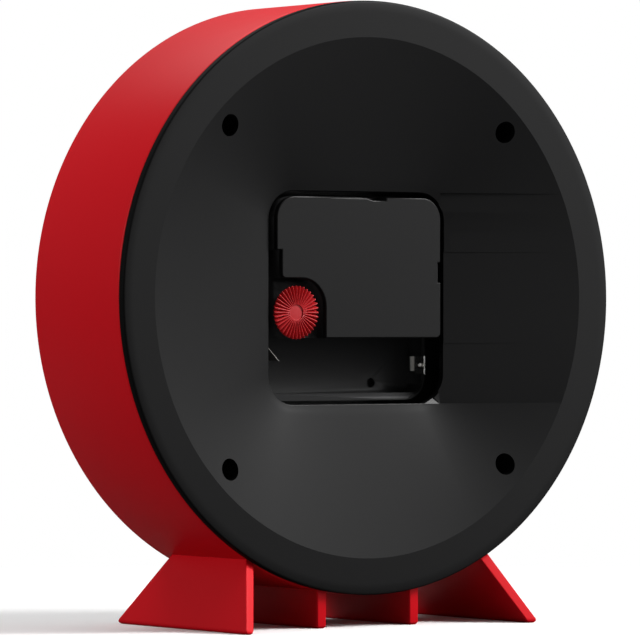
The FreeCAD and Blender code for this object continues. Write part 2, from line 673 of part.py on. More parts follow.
# Arbors of the gearing, as distances beside and above the drum's axis.
motion_distance = (s.cannon_teeth + s.motion_teeth) * s.motion_module / 2
setting_distance = (s.motion_teeth + s.setting_teeth) * s.motion_module / 2
knob_distance = root(s.knob_x * s.knob_x + s.knob_z * s.knob_z)
along = (knob_distance * knob_distance + motion_distance * motion_distance
         - setting_distance * setting_distance) / (2 * knob_distance)
offset = root(motion_distance * motion_distance - along * along)
motion_x = (s.knob_x * along - s.knob_z * offset) / knob_distance
motion_z = (s.knob_z * along + s.knob_x * offset) / knob_distance
hour_module = 2 * motion_distance / (s.motion_pinion_teeth + s.hour_teeth)
third_distance = (s.pinion_teeth + s.third_teeth) * s.train_module / 2
third_x = third_distance * cosine(s.third_turn)
third_z = third_distance * sine(s.third_turn)
centre_module = 2 * third_distance / (s.pinion_teeth + s.centre_teeth)
fifth_distance = (s.fifth_pinion_teeth + s.seconds_teeth) * s.train_module / 2
fifth_x = fifth_distance * cosine(s.fifth_turn)
fifth_z = fifth_distance * sine(s.fifth_turn)
rotor_distance = (s.pinion_teeth + s.fifth_teeth) * s.train_module / 2
rotor_x = fifth_x + rotor_distance * cosine(s.rotor_turn)
rotor_z = fifth_z + rotor_distance * sine(s.rotor_turn)

# Layers of the gearing, from the movement's dial side to its lid.
inside_front = movement_front + s.front_wall
lid_front = movement_rear - s.lid_thick
hour_level = inside_front + 2 * s.end_gap
motion_level = hour_level + s.wheel_thick + 1.1
plate_front = motion_level + s.wheel_thick + 2 * s.end_gap
plate_rear = plate_front + s.plate_thick
centre_level = plate_rear + s.end_gap + s.layer_gap
third_level = centre_level + s.wheel_thick + s.end_gap + 2 * s.layer_gap
fifth_level = third_level + s.wheel_thick + 2 * s.layer_gap
seconds_level = fifth_level + s.wheel_thick + 2 * s.layer_gap
boss_front = lid_front - s.bearing_wall

# The movement housing is a square black box: the wheels' chamber, the recess of the set knob,
# the open bay for one cell and, on the dial side, the threaded bush. Its wall follows the lid's
# outline, and is cut down beside it.
housing = new_body("movement_housing")
box = facing_sketch(housing, "box_outline", lid_front)
draw(box, rounded_square(movement_half, s.movement_round))
pad(housing, box, "box", lid_front - movement_front)
top_inner = lid_top - s.lid_round
side_inner = s.lid_half - s.lid_round
step_side = s.lid_half - s.step_depth
moat_level = s.well_level - s.moat_depth
beyond = movement_half + 1
rebate = facing_sketch(housing, "rebate_outline", lid_front)
draw(rebate, [
    (beyond, s.step_low), (beyond, beyond), (-beyond, beyond), (-beyond, s.lid_base),
    (-s.lid_half + s.lid_corner, s.lid_base, -s.lid_corner), (-s.lid_half, s.lid_base + s.lid_corner),
    (-s.lid_half, top_inner, -s.lid_round), (-side_inner, lid_top),
    (side_inner, lid_top, -s.lid_round), (s.lid_half, top_inner),
    (s.lid_half, s.step_high), (step_side, s.step_high), (step_side, s.step_low),
])
pocket(housing, rebate, "rebate", lid_front - moat_level)
bay_rim = movement_rear - s.bay_rim
low_side = facing_sketch(housing, "bay_rim_outline", lid_front)
draw(low_side, [(-beyond, -beyond), (beyond, -beyond), (beyond, s.lid_base), (-beyond, s.lid_base)])
pocket(housing, low_side, "bay_walls", lid_front - bay_rim)
bay_floor = movement_rear - s.bay_floor
bay = facing_sketch(housing, "bay_outline", bay_rim)
draw(bay, [(-bay_half, s.lid_base), (-bay_half, s.bay_base + s.bay_round, s.bay_round),
           (-bay_half + s.bay_round, s.bay_base), (bay_half - s.bay_round, s.bay_base, s.bay_round),
           (bay_half, s.bay_base + s.bay_round), (bay_half, s.lid_base)])
pocket(housing, bay, "battery_bay", bay_rim - bay_floor)
recess = facing_sketch(housing, "recess_outline", lid_front)
draw(recess, [(s.cutout_left, s.lid_base), (beyond, s.lid_base), (beyond, s.step_low),
              (s.cutout_left + s.cutout_round, s.step_low, s.cutout_round),
              (s.cutout_left, s.step_low - s.cutout_round)])
pocket(housing, recess, "knob_recess", lid_front - moat_level)
well = facing_sketch(housing, "well_outline", s.well_level)
well_top = s.step_low - s.moat_width
well_root = s.cutout_left - s.housing_wall / 2
draw(well, [(well_root, s.lid_base), (s.well_side - s.well_corner, s.lid_base, s.well_corner),
            (s.well_side, s.lid_base + s.well_corner), (s.well_side, well_top), (well_root, well_top)])
pad(housing, well, "recess_floor", s.moat_depth)
chamber_half = s.lid_half - s.housing_wall
chamber_top = lid_top - s.housing_wall
chamber_base = s.lid_base + s.bay_partition
chamber_right = step_side - s.housing_wall
chamber_round = s.lid_round - s.housing_wall
chamber_step = s.step_low + s.housing_wall
cutout_wall = s.cutout_left - s.housing_wall
chamber = facing_sketch(housing, "chamber_outline", lid_front)
draw(chamber, [(-chamber_half, chamber_base), (cutout_wall, chamber_base), (cutout_wall, chamber_step),
               (chamber_right, chamber_step), (chamber_right, chamber_top - chamber_round, chamber_round),
               (chamber_right - chamber_round, chamber_top),
               (-chamber_half + chamber_round, chamber_top, chamber_round),
               (-chamber_half, chamber_top - chamber_round)])
pocket(housing, chamber, "chamber", lid_front - inside_front)
lower_rear = moat_level - s.well_plate
under_well = facing_sketch(housing, "lower_chamber_outline", lower_rear)
draw(under_well, [(cutout_wall - 1, chamber_base), (chamber_right, chamber_base),
                  (chamber_right, chamber_step + 1), (cutout_wall - 1, chamber_step + 1)])
pocket(housing, under_well, "lower_chamber", lower_rear - inside_front)
bush = facing_sketch(housing, "bush_outline", inside_front)
draw_circle(bush, 0, 0, s.bush_radius)
pad(housing, bush, "bush", s.front_wall + s.bush_length)
posts = facing_sketch(housing, "post_outline", plate_front)
for index, (x, z) in enumerate(((23.8, 21.0), (-3.0, 24.4), (-25.6, -8.0), (23.8, 12.5))):
    draw_circle(posts, x, z, s.post_round, "circle%d" % index)
pad(housing, posts, "plate_posts", plate_front - inside_front)
bores = facing_sketch(housing, "bore_outline", s.well_level)
draw_circle(bores, 0, 0, s.hour_tube + s.running_gap, "hour")
pocket(housing, bores, "hour_bore", s.well_level - movement_front + s.bush_length + 1)
blind = facing_sketch(housing, "blind_outline", inside_front)
draw_circle(blind, motion_x, motion_z, s.pivot_radius + s.running_gap, "motion")
draw_circle(blind, s.knob_x, s.knob_z, s.pivot_radius + s.running_gap, "setting")
pocket(housing, blind, "front_bearings", s.bearing_wall)
shaft_bore = facing_sketch(housing, "shaft_outline", s.well_level)
draw_circle(shaft_bore, s.knob_x, s.knob_z, s.setting_shaft + s.running_gap, "setting")
pocket(housing, shaft_bore, "shaft_bore", s.well_level - lower_rear)
drain = facing_sketch(housing, "drain_outline", bay_floor)
draw_circle(drain, s.drain_x, s.drain_z, s.drain_radius)
pocket(housing, drain, "drain", bay_floor - movement_front)

# The lid closes the wheels' chamber. Snap notches open its edges, and small bosses on its inner
# side carry the rear pivots.
lid = new_body("movement_lid")
plate = facing_sketch(lid, "lid_outline", movement_rear)
draw(plate, [
    (s.cutout_left, s.lid_base), (s.cutout_left, s.step_low - s.cutout_round, -s.cutout_round),
    (s.cutout_left + s.cutout_round, s.step_low),
    (step_side - s.step_round, s.step_low, s.step_round),
    (step_side, s.step_low + s.step_round), (step_side, s.step_high),
    (s.lid_half, s.step_high), (s.lid_half, top_inner, s.lid_round), (side_inner, lid_top),
    (s.notch_right, lid_top), (s.notch_right, lid_top - s.notch_shallow),
    (s.notch_deep + s.notch_ramp, lid_top - s.notch_shallow), (s.notch_deep, lid_top - s.notch_depth),
    (s.notch_left, lid_top - s.notch_depth), (s.notch_left, lid_top),
    (-side_inner, lid_top, s.lid_round), (-s.lid_half, top_inner),
    (-s.lid_half, s.side_notch_high), (-s.lid_half + s.notch_depth, s.side_notch_high),
    (-s.lid_half + s.notch_depth, s.side_notch_low), (-s.lid_half, s.side_notch_low),
    (-s.lid_half, s.lid_base + s.lid_corner, s.lid_corner), (-s.lid_half + s.lid_corner, s.lid_base),
])
pad(lid, plate, "lid_plate", s.lid_thick)
bosses = facing_sketch(lid, "boss_outline", lid_front)
pivots = facing_sketch(lid, "pivot_outline", movement_rear - 0.6)
for name, x, z in (("seconds", 0, 0), ("third", third_x, third_z), ("fifth", fifth_x, fifth_z),
                   ("rotor", rotor_x, rotor_z)):
    draw_circle(bosses, x, z, s.pivot_radius + s.running_gap + s.bearing_wall, name)
    draw_circle(pivots, x, z, s.pivot_radius + s.running_gap, name)
pad(lid, bosses, "bearing_bosses", s.bearing_wall)
pocket(lid, pivots, "rear_bearings", s.lid_thick + s.bearing_wall)

# The train plate stands on the housing's posts, between the motion work and the going train.
train_plate = new_body("train_plate")
plate_left = -chamber_half + s.end_gap
plate_right = chamber_right - s.end_gap
plate_top = chamber_top - s.end_gap
coil_side = s.coil_right + 3.4
coil_base = s.coil_z - s.flange_radius - 0.4
sheet_outline = facing_sketch(train_plate, "plate_outline", plate_rear)
draw(sheet_outline, [
    (plate_left, chamber_base + s.end_gap), (plate_right, chamber_base + s.end_gap),
    (plate_right, plate_top - chamber_round), (plate_right - chamber_round, plate_top),
    (coil_side, plate_top), (coil_side, coil_base), (plate_left, coil_base),
])
draw_circle(sheet_outline, 0, 0, s.clutch_neck + s.running_gap, "neck")
draw_circle(sheet_outline, third_x, third_z, s.pivot_radius + s.running_gap, "third")
draw_circle(sheet_outline, fifth_x, fifth_z, s.pivot_radius + s.running_gap, "fifth")
draw_circle(sheet_outline, rotor_x, rotor_z, s.pivot_radius + s.running_gap, "rotor")
draw_circle(sheet_outline, motion_x, motion_z, s.pivot_radius + s.running_gap, "motion")
draw_circle(sheet_outline, s.knob_x, s.knob_z, s.setting_shaft + s.running_gap, "setting")
pad(train_plate, sheet_outline, "plate", s.plate_thick)


def toothed(teeth, module, front, rear, phase, wheel=True):
    """A toothed disc between two places along the axis. phase is where one tooth stands, in
    degrees from +X towards +Z. The teeth have straight flanks and a little play."""
    teeth = int(round(as_length(teeth).number))
    module = as_length(module).number
    front = as_length(front).number
    rear = as_length(rear).number
    pitch = math.pi * module
    outer = module * (teeth / 2 + 0.8)
    inner = module * (teeth / 2 - 1.2)
    tip = 0.2 * pitch / 2 / outer
    foot = (0.6 if wheel else 0.46) * pitch / 2 / inner
    spots = []
    for index in range(teeth):
        middle = math.radians(phase) + 2 * math.pi * index / teeth
        for radius, angle in ((inner, -foot), (outer, -tip), (outer, tip), (inner, foot)):
            way = middle + angle
            spots.append(FreeCAD.Vector(radius * math.cos(way), front, radius * math.sin(way)))
    face = Part.Face(Part.makePolygon(spots + spots[:1]))
    return face.extrude(FreeCAD.Vector(0, rear - front, 0))


def mesh_phase(teeth, driver_teeth, driver_phase, direction):
    """Where a wheel's tooth stands so that it meshes with its driver, which lies the other way
    along direction, an angle from the driver's arbor to this one."""
    own = 360.0 / as_length(teeth).number
    other = 360.0 / as_length(driver_teeth).number
    return direction + 180 - own / 2 + own * (direction - driver_phase) / other


def direction_of(x, z):
    return math.degrees(math.atan2(as_length(z).number, as_length(x).number))


def joined(*solids):
    whole = solids[0]
    for solid in solids[1:]:
        whole = whole.fuse(solid)
    return whole.removeSplitter()


def bored(solid, radius):
    """A solid with a hole right through it along its axis."""
    box = solid.BoundBox
    start = FreeCAD.Vector(0, box.YMin - box.YLength, 0)
    return solid.cut(Part.makeCylinder(radius.number, 3 * box.YLength, start, FreeCAD.Vector(0, 1, 0)))


# Motion work. The minute arbor carries the cannon pinion, which drives the hour wheel at a
# twelfth of its speed through the motion wheel. The set knob's pinion drives the motion wheel.
minute_hand_front = (dial_front - s.washer_thick - s.nut_height - s.nut_space
                     - s.hand_thick - s.hand_space - s.hand_thick)
hour_hand_front = minute_hand_front + s.hand_thick + s.hand_space
second_hand_front = minute_hand_front - s.hand_space - s.hand_thick
cannon_front = motion_level - s.layer_gap + 0.1
cannon_rear = motion_level + s.wheel_thick + s.layer_gap - 0.1
seat_rear = centre_level + s.wheel_thick + s.end_gap
cannon = toothed(s.cannon_teeth, s.motion_module, cannon_front, cannon_rear, 0.0, wheel=False)
tube_front = minute_hand_front - s.hand_proud
neck_rear = plate_rear + s.end_gap
minute_arbor = joined(cannon, solid_of([
    (0, tube_front), (s.minute_tube, tube_front), (s.minute_tube, cannon_front),
    (s.clutch_neck, cannon_front), (s.clutch_neck, neck_rear), (s.centre_seat, neck_rear),
    (s.centre_seat, seat_rear), (0, seat_rear)]))
own_shape("minute_arbor", bored(minute_arbor, s.seconds_arbor + s.running_gap))

motion_way = direction_of(motion_x, motion_z)
motion_phase = mesh_phase(s.motion_teeth, s.cannon_teeth, 0.0, motion_way)
pinion_front = inside_front + s.end_gap
motion_wheel = joined(
    toothed(s.motion_teeth, s.motion_module, motion_level, motion_level + s.wheel_thick, motion_phase),
    toothed(s.motion_pinion_teeth, hour_module, pinion_front, motion_level, 0.0, wheel=False),
    solid_of(disc(s.pivot_radius, inside_front - s.bearing_wall + s.end_gap, plate_rear)),
    solid_of(disc(s.arbor_radius, pinion_front, plate_front - s.end_gap)))
own_shape("motion_wheel", motion_wheel, motion_x, motion_z)

hour_phase = mesh_phase(s.hour_teeth, s.motion_pinion_teeth, 0.0, motion_way + 180)
hour_wheel = joined(
    toothed(s.hour_teeth, hour_module, hour_level, hour_level + s.wheel_thick, hour_phase),
    solid_of(disc(s.hour_tube, hour_hand_front - s.hand_proud, hour_level + s.wheel_thick)),
    solid_of(disc(s.hour_tube + 1, inside_front + s.end_gap, hour_level)))
own_shape("hour_wheel", bored(hour_wheel, s.minute_tube + s.running_gap))

setting_way = direction_of(s.knob_x - motion_x, s.knob_z - motion_z)
setting_phase = mesh_phase(s.setting_teeth, s.motion_teeth, motion_phase, setting_way)
knob_rear = movement_rear - s.knob_inset
knob_front = knob_rear - s.knob_height
setting_arbor = joined(
    toothed(s.setting_teeth, s.motion_module, cannon_front, cannon_rear, setting_phase, wheel=False),
    solid_of(disc(s.setting_shaft, cannon_front, knob_front + s.socket_depth)),
    solid_of(disc(s.pivot_radius, inside_front - s.bearing_wall + s.end_gap, cannon_front)))
own_shape("setting_arbor", setting_arbor, s.knob_x, s.knob_z)

# Set knob: a red disc on a smaller boss. V grooves open its rim and leave radial ribs, which run
# in to a plain sunk hub.
socket_radius = s.setting_shaft + s.press_gap
socket_floor = knob_front + s.socket_depth + s.press_gap
disc_front = knob_rear - s.knob_rim
knob_shape = solid_of([
    (0, socket_floor), (socket_radius, socket_floor), (socket_radius, knob_front),
    (s.knob_boss, knob_front), (s.knob_boss, disc_front), (s.knob_radius, disc_front),
    (s.knob_radius, knob_rear), (s.knob_hub, knob_rear), (s.knob_hub, knob_rear - s.hub_sink),
    (0, knob_rear - s.hub_sink)])


def groove_section(radius, width, depth):
    """A groove's triangle, standing across a radius of the knob."""
    top = knob_rear.number + 0.05
    half = width.number / 2
    corners = ((top - depth.number, 0), (top, half), (top, -half))
    spots = [FreeCAD.Vector(radius.number, y, z) for y, z in corners]
    return Part.makePolygon(spots + spots[:1])


groove_outer = s.knob_radius + 0.5
groove_inner = s.knob_hub + 0.45
rib_pitch = as_length(2 * math.pi) / s.rib_count
rim_section = groove_section(groove_outer, groove_outer * rib_pitch - s.rib_tip, s.rib_depth)
hub_section = groove_section(groove_inner, groove_inner * rib_pitch - s.rib_tip / 2, s.rib_depth / 4)
groove = Part.makeLoft([rim_section, hub_section], True, True)
grooves = []
for index in range(int(s.rib_count.number)):
    one = groove.copy()
    one.rotate(FreeCAD.Vector(0, 0, 0), FreeCAD.Vector(0, 1, 0), 360.0 * index / s.rib_count.number)
    grooves.append(one)
own_shape("set_knob", knob_shape.cut(Part.makeCompound(grooves)), s.knob_x, s.knob_z)

# Going train: the rotor steps the fifth wheel, which drives the seconds wheel. The third wheel
# carries its motion to the centre wheel, which slips on the minute arbor when the hands are set.
centre_phase = 0.0
third_way = direction_of(third_x, third_z)
third_pinion_phase = mesh_phase(s.pinion_teeth, s.centre_teeth, centre_phase, third_way)
centre_wheel = joined(
    toothed(s.centre_teeth, centre_module, centre_level, centre_level + s.wheel_thick, centre_phase),
    solid_of(disc(s.centre_seat + s.bearing_wall, centre_level + s.wheel_thick, seat_rear)))
own_shape("centre_wheel", bored(centre_wheel, s.centre_seat + s.running_gap))

seconds_phase = 0.0
seconds_pinion_front = seat_rear + s.end_gap
seconds_pinion_rear = third_level + s.wheel_thick + s.layer_gap
third_phase = mesh_phase(s.third_teeth, s.pinion_teeth, seconds_phase, third_way)
third_wheel = joined(
    toothed(s.third_teeth, s.train_module, third_level, third_level + s.wheel_thick, third_phase),
    toothed(s.pinion_teeth, centre_module, neck_rear, third_level, third_pinion_phase, wheel=False),
    solid_of(disc(s.arbor_radius, neck_rear, boss_front - s.end_gap)),
    solid_of(disc(s.pivot_radius, plate_front, lid_front)))
own_shape("third_wheel", third_wheel, third_x, third_z)

seconds_wheel = joined(
    toothed(s.seconds_teeth, s.train_module, seconds_level, seconds_level + s.wheel_thick, seconds_phase),
    toothed(s.pinion_teeth, s.train_module, seconds_pinion_front, seconds_pinion_rear, seconds_phase,
            wheel=False),
    solid_of(disc(s.arbor_radius, seconds_pinion_rear, boss_front - s.end_gap)),
    solid_of(disc(s.pivot_radius, seconds_level, lid_front)),
    solid_of(disc(s.seconds_arbor, second_hand_front - s.hand_proud / 3, seconds_pinion_front)))
own_shape("seconds_wheel", seconds_wheel)

fifth_way = direction_of(fifth_x, fifth_z)
fifth_pinion_phase = mesh_phase(s.fifth_pinion_teeth, s.seconds_teeth, seconds_phase, fifth_way)
fifth_phase = 0.0
fifth_wheel = joined(
    toothed(s.fifth_teeth, s.train_module, fifth_level, fifth_level + s.wheel_thick, fifth_phase),
    toothed(s.fifth_pinion_teeth, s.train_module, fifth_level + s.wheel_thick, boss_front - s.end_gap,
            fifth_pinion_phase, wheel=False),
    solid_of(disc(s.arbor_radius, plate_rear + s.end_gap, fifth_level)),
    solid_of(disc(s.pivot_radius, plate_front, lid_front)))
own_shape("fifth_wheel", fifth_wheel, fifth_x, fifth_z)

rotor_phase = mesh_phase(s.pinion_teeth, s.fifth_teeth, fifth_phase, s.rotor_turn.number)
stator_rear = plate_rear + s.stator_thick
magnet_front = plate_rear + s.end_gap
magnet_rear = magnet_front + s.magnet_height
rotor = joined(
    toothed(s.pinion_teeth, s.train_module, fifth_level - s.layer_gap,
            fifth_level + s.wheel_thick + s.layer_gap, rotor_phase, wheel=False),
    solid_of(disc(s.arbor_radius, magnet_rear, boss_front - s.end_gap)),
    solid_of(disc(s.pivot_radius, plate_front, lid_front)))
own_shape("rotor_pinion", rotor, rotor_x, rotor_z)
turned("rotor_magnet", tube(s.pivot_radius + s.press_gap, s.rotor_radius, magnet_front, magnet_rear),
       rotor_x, rotor_z)

# The motor's fixed parts: a stator sheet with two arms, and the coil on its bobbin across them.
stator = new_body("stator")
core_front = stator_rear
coil_y = core_front + s.coil_core
arm_top = s.coil_z + s.coil_core + 0.8
left_arm = (s.coil_left - 0.8, s.coil_left + s.flange_thick + 1.8)
right_arm = (s.coil_right - s.flange_thick - 1.8, s.coil_right + 0.8)
hole = s.rotor_radius + s.stator_gap
window_base = rotor_z + hole + 2.4
stator_outline = facing_sketch(stator, "stator_outline", stator_rear)
draw(stator_outline, [
    (left_arm[0], arm_top), (left_arm[0], rotor_z), (rotor_x - hole - 2.2, rotor_z - hole - 2.0),
    (rotor_x + hole + 2.2, rotor_z - hole - 1.6), (right_arm[1], rotor_z + 1.6), (right_arm[1], arm_top),
    (right_arm[0], arm_top), (right_arm[0], window_base), (left_arm[1], window_base), (left_arm[1], arm_top),
])
draw_circle(stator_outline, rotor_x, rotor_z, hole, "rotor")
pad(stator, stator_outline, "stator_sheet", s.stator_thick)

bobbin = new_body("coil_bobbin")
core = new_sketch(bobbin, "core_outline", "YZ_Plane", s.coil_left)
half = s.coil_core
draw(core, [(coil_y - half, s.coil_z - half), (coil_y + half, s.coil_z - half),
            (coil_y + half, s.coil_z + half), (coil_y - half, s.coil_z + half)])
feature(bobbin, "Pad", "core", Profile=core, Length=s.coil_right - s.coil_left)
flange_places = (s.coil_left + 2.6, s.coil_right - 2.6 - s.flange_thick)
for name, spot in zip(("left_flange", "right_flange"), flange_places):
    sketch = new_sketch(bobbin, name + "_outline", "YZ_Plane", spot)
    draw_circle(sketch, coil_y, s.coil_z, s.flange_radius)
    feature(bobbin, "Pad", name, Profile=sketch, Length=s.flange_thick)
winding = new_body("coil_winding")
turns = new_sketch(winding, "winding_outline", "YZ_Plane", flange_places[0] + s.flange_thick)
draw_circle(turns, coil_y, s.coil_z, s.coil_radius, "outside")
draw(turns, [(coil_y - half, s.coil_z - half), (coil_y + half, s.coil_z - half),
             (coil_y + half, s.coil_z + half), (coil_y - half, s.coil_z + half)])
feature(winding, "Pad", "winding", Profile=turns,
        Length=flange_places[1] - flange_places[0] - s.flange_thick)

# Circuit board with the resin drop over its chip, and the quartz crystal in its can.
board = new_body("circuit_board")
board_rear = inside_front + s.board_thick
board_outline = facing_sketch(board, "board_outline", board_rear)
board_sides = (-chamber_half + 3.4, -chamber_half + 15.4, chamber_base + 0.4, chamber_base + 9.6)
draw(board_outline, [(board_sides[0], board_sides[2] + 1.6), (board_sides[0] + 1.6, board_sides[2]),
                     (board_sides[1], board_sides[2]), (board_sides[1], board_sides[3]),
                     (board_sides[0], board_sides[3])])
pad(board, board_outline, "board", s.board_thick)
turned("chip_cover", [(0, board_rear), (s.chip_radius, board_rear), (s.chip_radius * 0.7, board_rear + 0.7),
                      (0, board_rear + 1)], board_sides[0] + 4.0, board_sides[2] + 4.0)
crystal = new_body("quartz_crystal")
can = new_sketch(crystal, "can_outline", "YZ_Plane", board_sides[0] + 3.0)
draw_circle(can, board_rear + s.can_radius, board_sides[3] - 1.6, s.can_radius)
feature(crystal, "Pad", "can", Profile=can, Length=s.can_length)

# Battery contacts: a dimpled plate with a folded tab at one end of the bay, a folded flap at the
# other. Both stand on the bay's floor and rise above its walls.
contact_top = movement_rear - s.contact_rear
positive = new_body("positive_contact")
plate_side = -bay_half + s.contact_thick
back = new_sketch(positive, "plate_outline", "YZ_Plane", -bay_half)
draw(back, [(bay_floor, s.contact_z - s.contact_half), (contact_top, s.contact_z - s.contact_half),
            (contact_top, s.contact_z + s.contact_half), (bay_floor, s.contact_z + s.contact_half)])
feature(positive, "Pad", "contact_plate", Profile=back, Length=s.contact_thick)
tab = new_sketch(positive, "tab_outline", "XY_Plane", s.contact_z - s.tab_half)
tab_root = plate_side - s.contact_thick / 2
draw(tab, [(tab_root, bay_floor + s.tab_low), (plate_side + s.tab_reach, bay_floor + s.tab_low),
           (plate_side + s.contact_thick / 2, bay_floor + s.tab_high), (tab_root, bay_floor + s.tab_high)])
feature(positive, "Pad", "tab", Profile=tab, Length=2 * s.tab_half)
dimple = []
for name, side, radius in (("dimple_root", plate_side - s.contact_thick / 2, s.dimple_radius),
                           ("dimple_tip", plate_side + s.dimple_height, s.dimple_radius / 2)):
    dimple.append(new_sketch(positive, name, "YZ_Plane", side))
    draw_circle(dimple[-1], contact_top - s.dimple_radius, s.contact_z, radius)
feature(positive, "AdditiveLoft", "dimple", Profile=dimple[0], Sections=[dimple[1]], Ruled=True)
negative = new_body("negative_contact")
flap = facing_sketch(negative, "flap_outline", contact_top)
flap_tip = bay_half - s.flap_reach
flap_high = s.flap_low + s.flap_reach
fold = s.contact_thick * math.sqrt(2)
draw(flap, [
    (flap_tip, s.flap_low), (bay_half, s.flap_low), (bay_half, s.flap_low + s.contact_thick),
    (flap_tip + s.contact_thick + fold, s.flap_low + s.contact_thick), (bay_half, flap_high - fold),
    (bay_half, flap_high),
])
pad(negative, flap, "flap", contact_top - bay_floor)

# The three hands, pressed onto the hour tube, the minute tube and the seconds arbor.
minute_angle = s.shown_minute * 6
hour_angle = s.shown_hour * 30 + s.shown_minute / 2
second_angle = s.shown_second * 6


def hand(label, front, seat, length, width, tail, angle):
    """A flat baton hand with a round boss and a short collar towards the dial."""
    body = new_body(label, 0, 0, angle)
    boss = seat + s.hand_collar
    outline = facing_sketch(body, "hand_outline", front + s.hand_thick)
    side = width / 2
    draw(outline, [(side, -tail), (side, length - side), (0, length), (-side, length - side), (-side, -tail)])
    pad(body, outline, "blade", s.hand_thick)
    revolve(body, "collar", disc(boss, front, front + s.hand_thick + s.collar_height - s.hand_thick))
    revolve(body, "seat", disc(seat, front - 1, front + s.collar_height + 1), "Groove")
    return body


hand("hour_hand", hour_hand_front, s.hour_tube + s.press_gap, s.hour_length, s.hour_width,
     s.hour_tail, hour_angle)
hand("minute_hand", minute_hand_front, s.minute_tube + s.press_gap, s.minute_length, s.minute_width,
     s.minute_tail, minute_angle)
hand("second_hand", second_hand_front, s.seconds_arbor + s.press_gap, s.second_length, s.second_width,
     s.second_tail, second_angle)

document.recompute()
pieces = [item for item in document.Objects
          if item.TypeId in ("PartDesign::Body", "Part::Feature")]
for item in document.Objects:
    if "Invalid" in item.State or "Error" in item.State:
        raise ValueError("%s failed to build" % item.Label)
for piece in pieces:
    if piece.Shape.isNull() or not piece.Shape.isValid():
        raise ValueError("%s has no valid shape" % piece.Label)
os.makedirs("parts", exist_ok=True)
for piece in pieces:
    piece.Shape.exportStep("parts/%s.step" % piece.Label)
    box = piece.Shape.BoundBox
    print("%-18s solids %d  volume %10.2f  X %.2f..%.2f  Y %.2f..%.2f  Z %.2f..%.2f" % (
        piece.Label, len(piece.Shape.Solids), piece.Shape.Volume,
        box.XMin, box.XMax, box.YMin, box.YMax, box.ZMin, box.ZMax))
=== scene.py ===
import bpy
import bmesh
import math
from contextlib import contextmanager
from mathutils import Vector, Matrix


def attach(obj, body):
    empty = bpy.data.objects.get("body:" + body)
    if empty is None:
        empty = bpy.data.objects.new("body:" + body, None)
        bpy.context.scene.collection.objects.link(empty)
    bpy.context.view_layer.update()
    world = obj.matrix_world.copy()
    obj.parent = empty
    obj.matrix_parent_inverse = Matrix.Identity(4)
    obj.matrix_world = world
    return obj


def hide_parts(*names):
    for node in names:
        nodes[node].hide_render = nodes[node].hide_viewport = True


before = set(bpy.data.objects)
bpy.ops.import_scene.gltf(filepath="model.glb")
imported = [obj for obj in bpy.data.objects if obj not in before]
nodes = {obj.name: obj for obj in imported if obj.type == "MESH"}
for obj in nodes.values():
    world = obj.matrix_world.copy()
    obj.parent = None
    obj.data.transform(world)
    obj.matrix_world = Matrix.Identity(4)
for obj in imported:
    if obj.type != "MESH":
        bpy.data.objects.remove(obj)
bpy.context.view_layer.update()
scene = bpy.context.scene

# Studio: one white sheet lies on the table and fades into a white surround. Four softboxes light
# the clock's back, from overhead, from both sides and from low on the right, and a fifth lights
# its dial. The camera looks level at the back from the clock's left.
scene.view_settings.view_transform = "Standard"
WHITE = (1.0, 1.0, 1.0, 1.0)
LOOK = (-0.5738, -0.8190, 0.0)
CLOCK_MIDDLE = (0.0, 0.0, 0.08)
AMBIENT = 0.24
SHEET_EDGE = (0.80, 0.95)
SHEET_TOP = (0.16, 0.06)
PAPER_LIT = 0.16
PAPER_SHOWN = 0.93
PAPER_FADE = (0.10, 0.34)
FLOOR_REACH = 6.0

camera_data = bpy.data.cameras.new("camera")
camera_data.lens = 289.0
camera_data.sensor_width = 36.0
camera_data.clip_end = 50.0
camera = bpy.data.objects.new("camera", camera_data)
camera.location = (0.81056, 1.15339, 0.08318)
camera.rotation_mode = "QUATERNION"
camera.rotation_quaternion = Vector(LOOK).to_track_quat("-Z", "Y")
scene.collection.objects.link(camera)
scene.camera = camera


def softbox(name, place, side, watts):
    """One square lamp, aimed at the clock's middle."""
    lamp = bpy.data.lights.new(name, "AREA")
    lamp.shape = "SQUARE"
    lamp.size = side
    lamp.energy = watts
    box = bpy.data.objects.new(name, lamp)
    box.location = place
    box.rotation_mode = "QUATERNION"
    box.rotation_quaternion = (Vector(CLOCK_MIDDLE) - Vector(place)).to_track_quat("-Z", "Y")
    scene.collection.objects.link(box)


softbox("overhead_softbox", (0.25, 0.00, 1.30), 1.2, 5.0)
softbox("right_hand_softbox", (-0.86, 0.66, 0.90), 0.5, 23.0)
softbox("low_softbox", (-1.00, 1.00, 0.42), 1.0, 7.0)
softbox("left_hand_softbox", (1.35, -0.25, 0.55), 0.6, 6.0)
softbox("front_softbox", (-0.10, -0.80, 1.25), 0.7, 5.5)


def emptied(owner):
    """The node tree of a material or a world, with no nodes in it yet."""
    owner.use_nodes = True
    owner.node_tree.nodes.clear()
    return owner.node_tree


def add_step(tree, kind, inputs, **settings):
    """One shader node with its settings, each input given a value or linked from a socket."""
    made = tree.nodes.new("ShaderNode" + kind)
    for setting, value in settings.items():
        setattr(made, setting, value)
    for place, value in inputs.items():
        if isinstance(value, bpy.types.NodeSocket):
            tree.links.new(value, made.inputs[place])
        else:
            made.inputs[place].default_value = value
    return made


def joined_by(tree, operation, first, second):
    """One Math node over two values or sockets."""
    return add_step(tree, "Math", {0: first, 1: second}, operation=operation).outputs[0]


def smooth_step(tree, value, start, end):
    """0 before the start, 1 past the end, and smooth between them."""
    ends = {"Value": value, "From Min": start, "From Max": end}
    return add_step(tree, "MapRange", ends, interpolation_type="SMOOTHSTEP").outputs["Result"]


